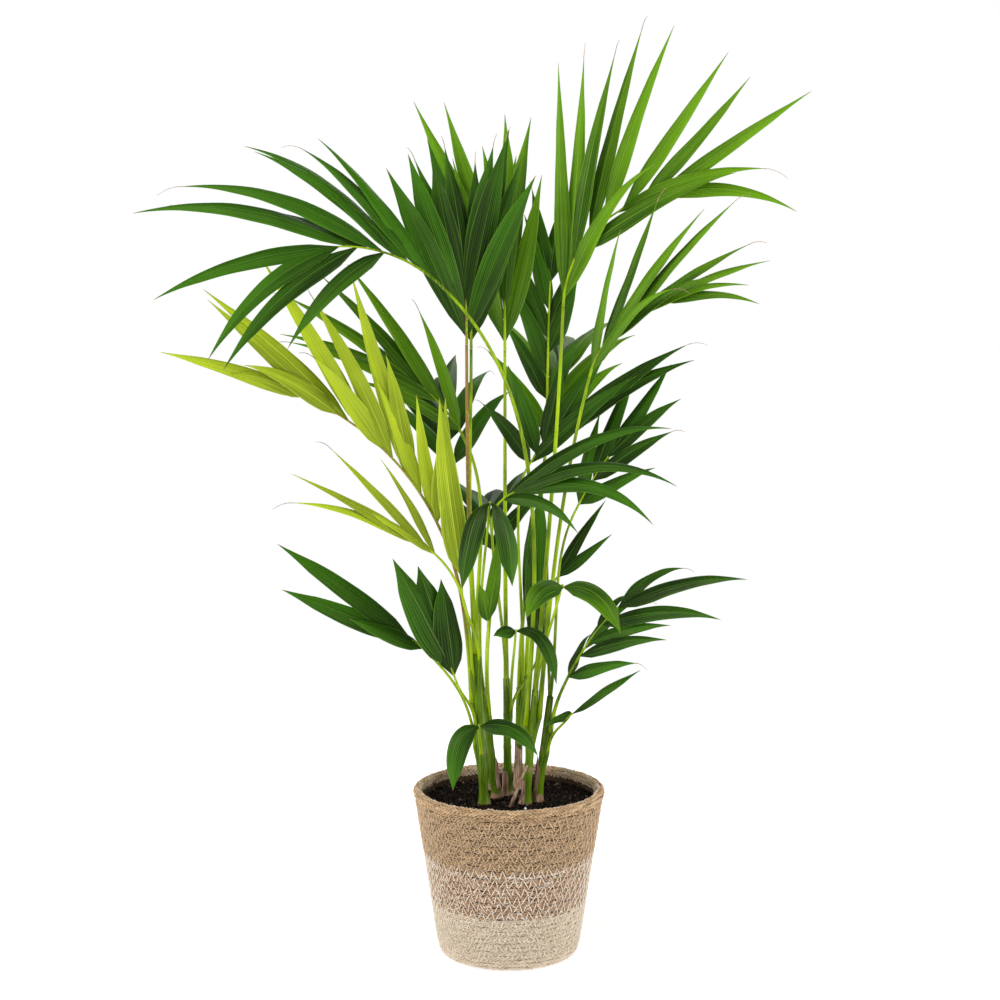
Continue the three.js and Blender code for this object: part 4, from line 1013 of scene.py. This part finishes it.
def braid_row(skin, spot, row, light, girth, shade_strength):
    """Three strands that cross over each other all the way round the basket."""
    place, up, out = spot
    waves = max(6, round(2 * math.pi * place[0] / BRAID_WAVE))
    stations = waves * WAVE_STEPS
    theta = np.arange(stations) / stations * 2 * np.pi
    angles = np.arange(STRAND_SIDES) / STRAND_SIDES * 2 * np.pi
    for strand in range(STRANDS):
        centre, depth = strand_line(spot, row, strand, waves, theta, girth)
        ways = units(np.roll(centre, -1, axis=0) - np.roll(centre, 1, axis=0))
        normal = around(theta, np.full(stations, out[0]), np.full(stations, out[1]))
        normal = units(normal - ways * np.sum(ways * normal, axis=1)[:, None])
        across = np.cross(ways, normal)
        uneven = 1 + 0.14 * np.sin(theta * 23 + strand * 2 + row) + 0.1 * np.sin(theta * 61 + row)
        size = (STRAND * girth * uneven)[:, None]
        ring = (normal[:, None, :] * (np.cos(angles) * size * 0.9)[..., None]
                + across[:, None, :] * (np.sin(angles) * size)[..., None])
        points = centre[:, None, :] + ring
        # Painted shade: a strand is darker at its sides and where it dives under another, as shade falls
        # there
        painted_shade = shade_strength * (np.clip(-depth, 0, 1)[:, None] * 0.5 + 0.34 * (1 - np.cos(angles)))
        tone = np.clip(light(theta, strand, row)[:, None] - painted_shade, -1, 1)
        along = theta * place[0] + strand * 40
        marks = np.stack(np.broadcast_arrays(angles, along[:, None], tone), axis=-1)
        closed = np.concatenate([points, points[:1]], axis=0)
        closed_marks = np.concatenate([marks, marks[:1]], axis=0)
        skin.grid(closed[:, ::-1], closed_marks[:, ::-1], close_ends=False)


def stitch_row(skin, spot, row, tone):
    """A zigzag of sewing thread over two rows of braid."""
    place, up, out = spot
    turns = 2 * round(2 * math.pi * place[0] / STITCH_PITCH)
    corner = np.arange(turns) + 0.28 * np.sin(np.arange(turns) * 2.7 + row)
    corner = np.append(corner, corner[0] + turns) + row * 0.6
    side = np.where(np.arange(turns + 1) % 2 == 0, 1.0, -1.0)
    reach = STITCH_HEIGHT / 2 * (1 + 0.14 * np.sin(corner * 1.9 + row * 3))
    reach[-1] = reach[0]
    station = np.linspace(0, turns, turns * 3 + 1)
    theta = np.interp(station, np.arange(turns + 1), corner) / turns * 2 * np.pi
    rise = np.interp(station, np.arange(turns + 1), side * reach)
    lift = BRAID_DEPTH - 0.25 + 0.45 * np.cos(rise / STITCH_HEIGHT * 2 * np.pi)
    line = around(theta, place[0] + up[0] * rise + out[0] * lift, place[1] + up[1] * rise + out[1] * lift)
    tube(skin, line, STITCH_RADIUS, 4, (0, 0, tone), (0, 0.1, 1))


def core(skin, low, high, with_floor=False):
    """The solid wall behind one band's braids: painted shade, dark where it shows between the strands."""
    outer = [(outside(h) - CORE_DEPTH, h) for h in (low, high)]
    inner = [(outside(h) - WALL + 0.4, h) for h in (high, low)]
    if with_floor:
        edge = arc((FOOT_RADIUS - BOTTOM_EDGE, BOTTOM_EDGE), BOTTOM_EDGE - CORE_DEPTH, -90, 0, 5)
        outer = [(2.0, CORE_DEPTH)] + edge + outer[1:]
        inner = inner[:-1] + [(FOOT_RADIUS - WALL, BOTTOM_EDGE), (FOOT_RADIUS - BOTTOM_EDGE, FLOOR - 0.3)]
        inner.append((2.0, FLOOR - 0.3))
    line = np.array(outer + inner)
    turns = np.linspace(0, 2 * np.pi, 97)
    rings = [around(np.full(len(line), turn), line[:, 0], line[:, 1]) for turn in turns]
    skin.grid(np.array(rings)[:, ::-1], (0, 0, -1.0), close_ends=False)


def fuzz(skin, number):
    """A loose fibre that sticks out of the braids."""
    turn, height = 2.399 * number, 8 + 205 * (0.5 + 0.5 * wobble(number, 1, 1))
    reach, swing = 3 + 2 * wobble(number, 2, 1), 0.03 * wobble(number, 3, 1)
    climb = 3 * wobble(number, 4, 1)
    foot = outside(min(height, NECK_HEIGHT)) - 1.5
    s = np.array([0, 0.35, 0.7, 1])
    places = around(turn + swing * s * s, foot + reach * s, height + climb * s + 1.5 * s * s)
    tube(skin, places, FUZZ_RADIUS, 3, (0, 0, 0.4))


line, length = profile()
rows = int((length[-1] - 4) / ROW)
pitch = (length[-1] - 4) / rows
spots = [row_at(line, length, 2 + row * pitch) for row in range(rows + 1)]
MIXED_ROWS = [row for row, (place, up, out) in enumerate(spots)
              if up[1] > 0.5 and CREAM_TOP <= place[1] < MIXED_TOP]
EDGE_ROWS = (MIXED_ROWS[0], MIXED_ROWS[-1])


def plain_light(theta, strand, row):
    """How light a strand of one yarn is, round the basket."""
    return 0.16 * np.sin(theta * 17 + row * 5 + strand) + 0.1 * np.sin(theta * 71 + row * 3 + strand * 2)


def inside_painted_light(theta, strand, row):
    """The inside is painted paler than the wall: painted light that lifts the shade inside the basket."""
    return plain_light(theta, strand, row) + 0.3


def mixed_light(theta, strand, row):
    """White yarn shows in the band's first and last rows, and now and then between them."""
    edge = 0.9 if row in EDGE_ROWS else 0.0
    pale = np.sin(theta * 23 + row * 2.7 + strand * 2.1) + np.sin(theta * 37 + row * 1.9 + strand) + edge
    return np.where(pale > 1.35, 0.8, 0.1 * np.sin(theta * 60 + strand * 2))


# Each band's braids: how light they are, how much shade is painted between the strands, and how white their
# sewing thread is
cream = dict(skin=Skin(), light=plain_light, shade_strength=0.5, thread=0.5, slot='jute_cream',
             paint=jute_material('Bleached jute braid', yarn='#d4bfa2', light='#f4e7d6', dark='#ab9472'))
mixed = dict(skin=Skin(), light=mixed_light, shade_strength=1.0, thread=0.8, slot='jute_mixed',
             paint=jute_material('Jute braid with white yarn', yarn='#b08056', light='#e6c8a6',
                                 dark='#3e2a1b'))
jute = dict(skin=Skin(), light=plain_light, shade_strength=1.0, thread=0.22, slot='jute',
            paint=jute_material('Natural jute braid', yarn='#b08a5e', light='#dfbf94', dark='#3a2712'))
rim = Skin()
for row, spot in enumerate(spots):
    place, up, out = spot
    plain = cream if place[1] < CREAM_TOP else jute
    band = mixed if row in MIXED_ROWS else plain
    rising = up[1] > 0
    if place[1] > NECK_HEIGHT or (band is jute and not rising):
        braid_row(rim, spot, row, band['light'] if rising else inside_painted_light, girth=RIM_GIRTH, shade_strength=0.6)
    else:
        braid_row(band['skin'], spot, row, band['light'], girth=1.0, shade_strength=band['shade_strength'])
    # Sewing thread holds every second row of the wall to the next
    if up[1] > 0.7 and row % 2 == MIXED_ROWS[0] % 2 and 16 < place[1] < NECK_HEIGHT - 6:
        stitch_row(band['skin'], (place + up * pitch / 2, up, out), row, band['thread'])
core(cream['skin'], 14, CREAM_TOP, with_floor=True)
core(mixed['skin'], CREAM_TOP + CLEAR, MIXED_TOP - CLEAR)
core(jute['skin'], MIXED_TOP, NECK_HEIGHT + 5)
for number in range(FUZZ):
    fuzz(rim, number)

add_piece(rim, 'basket_rim_braids', jute['paint'])
for node, band in {'basket_cream': cream, 'basket_mixed': mixed, 'basket_jute': jute}.items():
    add_piece(band['skin'], node + '_braids', band['paint'], [node])


# Soil: a dark plug with a crumbly top

def soil_plug(skin, rng):
    """The soil that fills the basket, with an uneven top."""
    inset = WALL + CLEAR + 0.4
    line = [(0.5, FLOOR + CLEAR), (FOOT_RADIUS - BOTTOM_EDGE - 2, FLOOR + CLEAR),
            (FOOT_RADIUS - inset, BOTTOM_EDGE + 2), (outside(SOIL_TOP) - inset, SOIL_TOP - 2)]
    top_from = len(line)
    line += [(radius, SOIL_TOP - 1) for radius in np.linspace(106, 0.5, 44)]
    steps = 160
    theta = np.arange(steps) / steps * 2 * np.pi
    rings = []
    for i, (radius, height) in enumerate(line):
        bumps = np.zeros(steps)
        if i > top_from:
            x, y = radius * np.cos(theta), radius * np.sin(theta)
            bumps = (0.9 * np.sin(x * 0.21 + 1) * np.cos(y * 0.17) + 0.5 * np.sin(x * 0.9) * np.sin(y * 0.8)
                     + rng.normal(0, 0.45, steps))
        rings.append(around(theta, radius, height + bumps))
    skin.grid(np.array(rings), (0, 0, 0))


def crumb(skin, rng, centre, size, pale):
    """A crumb of soil, or a white grain where pale is 3."""
    rings = []
    for level, girth in ((-0.9, 0.45), (-0.2, 1.0), (0.5, 0.85), (0.95, 0.3)):
        angles = np.arange(6) / 6 * 2 * np.pi + rng.uniform(0, 1)
        reach = size * girth * rng.uniform(0.75, 1.25, 6)
        height = size * level * rng.uniform(0.7, 1.1, 6)
        rings.append(around(angles, reach, height) + centre)
    skin.grid(np.array(rings), (0, 0, pale))


rng = np.random.default_rng(7)
soil = Skin()
soil_plug(soil, rng)
for i in range(CRUMBS):
    radius, angle = CRUMB_FIELD * math.sqrt(rng.uniform(0, 1)), rng.uniform(0, 2 * math.pi)
    size = rng.uniform(0.5, 1.5) if rng.uniform() < 0.85 else rng.uniform(1.5, 2.6)
    pale = 1.0 if rng.uniform() < 0.035 else rng.uniform(0, 0.35)
    crumb(soil, rng, (radius * math.cos(angle), radius * math.sin(angle), SOIL_TOP - 0.3), size, pale)
crumb(soil, rng, WHITE_GRAIN, 1.9, 3.0)
add_piece(soil, 'soil_crumbs', soil_material('Peat potting soil'), ['soil'])


# Floor, lamps and camera, in metres

def add_floor(radius, sides=96):
    """A round board that the basket stands on."""
    mesh = bpy.data.meshes.new('floor')
    edge = [(radius * math.cos(a), radius * math.sin(a), 0) for a in np.linspace(0, 2 * np.pi, sides, False)]
    mesh.from_pydata(edge, [], [list(range(sides))])
    mesh.materials.append(floor_material('Studio board'))
    floor = bpy.data.objects.new('floor', mesh)
    bpy.context.scene.collection.objects.link(floor)


def add_studio():
    """A white wall all round the horizon, and a dimmer ceiling."""
    world = bpy.data.worlds.new('studio')
    bpy.context.scene.world = world
    world.use_nodes = True
    tree = world.node_tree
    ray = add_node(tree, 'ShaderNodeTexCoord', {}, 'Generated')
    height = add_node(tree, 'ShaderNodeSeparateXYZ', {0: ray}, 'Z')
    share = add_node(tree, inputs={VALUE: height, FROM_MIN: 0.08, FROM_MAX: 0.45}, **RANGED)
    sky = add_node(tree, inputs={SHARE: share, FIRST: '#ffffff', SECOND: '#5a5957'}, **MIXED)
    tree.links.new(sky, tree.nodes['Background'].inputs['Color'])
    bpy.context.scene.view_settings.view_transform = 'Standard'


def lamp(name, place, target, size, watts):
    """A soft square lamp that points at a target."""
    light = bpy.data.lights.new(name, 'AREA')
    light.size, light.energy = size, watts
    holder = bpy.data.objects.new(name, light)
    holder.location = place
    holder.rotation_euler = (Vector(target) - Vector(place)).to_track_quat('-Z', 'Y').to_euler()
    bpy.context.scene.collection.objects.link(holder)


def add_camera(place, look_down, lens):
    """The camera, level from side to side and turned down by look_down, as the photograph was taken."""
    camera = bpy.data.cameras.new('camera')
    camera.lens = lens
    camera.sensor_width = 36.0
    holder = bpy.data.objects.new('camera', camera)
    holder.location = place
    holder.rotation_euler = (math.radians(90 - look_down), 0, 0)
    bpy.context.scene.collection.objects.link(holder)
    bpy.context.scene.camera = holder


add_floor(radius=1.5)
add_studio()
lamp('left', place=(-1.9, -0.9, 1.2), target=(0, 0, 0.35), size=1.4, watts=34)
lamp('right', place=(1.9, -0.7, 1.1), target=(0, 0, 0.35), size=1.4, watts=33)
lamp('above', place=(-0.4, -1.3, 2.6), target=(0, 0, 0.6), size=1.2, watts=18)
lamp('back', place=(0.5, 1.9, 2.2), target=(0, 0, 0.8), size=1.2, watts=14)
# Placed so that the basket's rim, base and neck fall where the photograph has them
add_camera(place=(-0.0112, -3.0, 1.0231), look_down=8.35, lens=87.6)
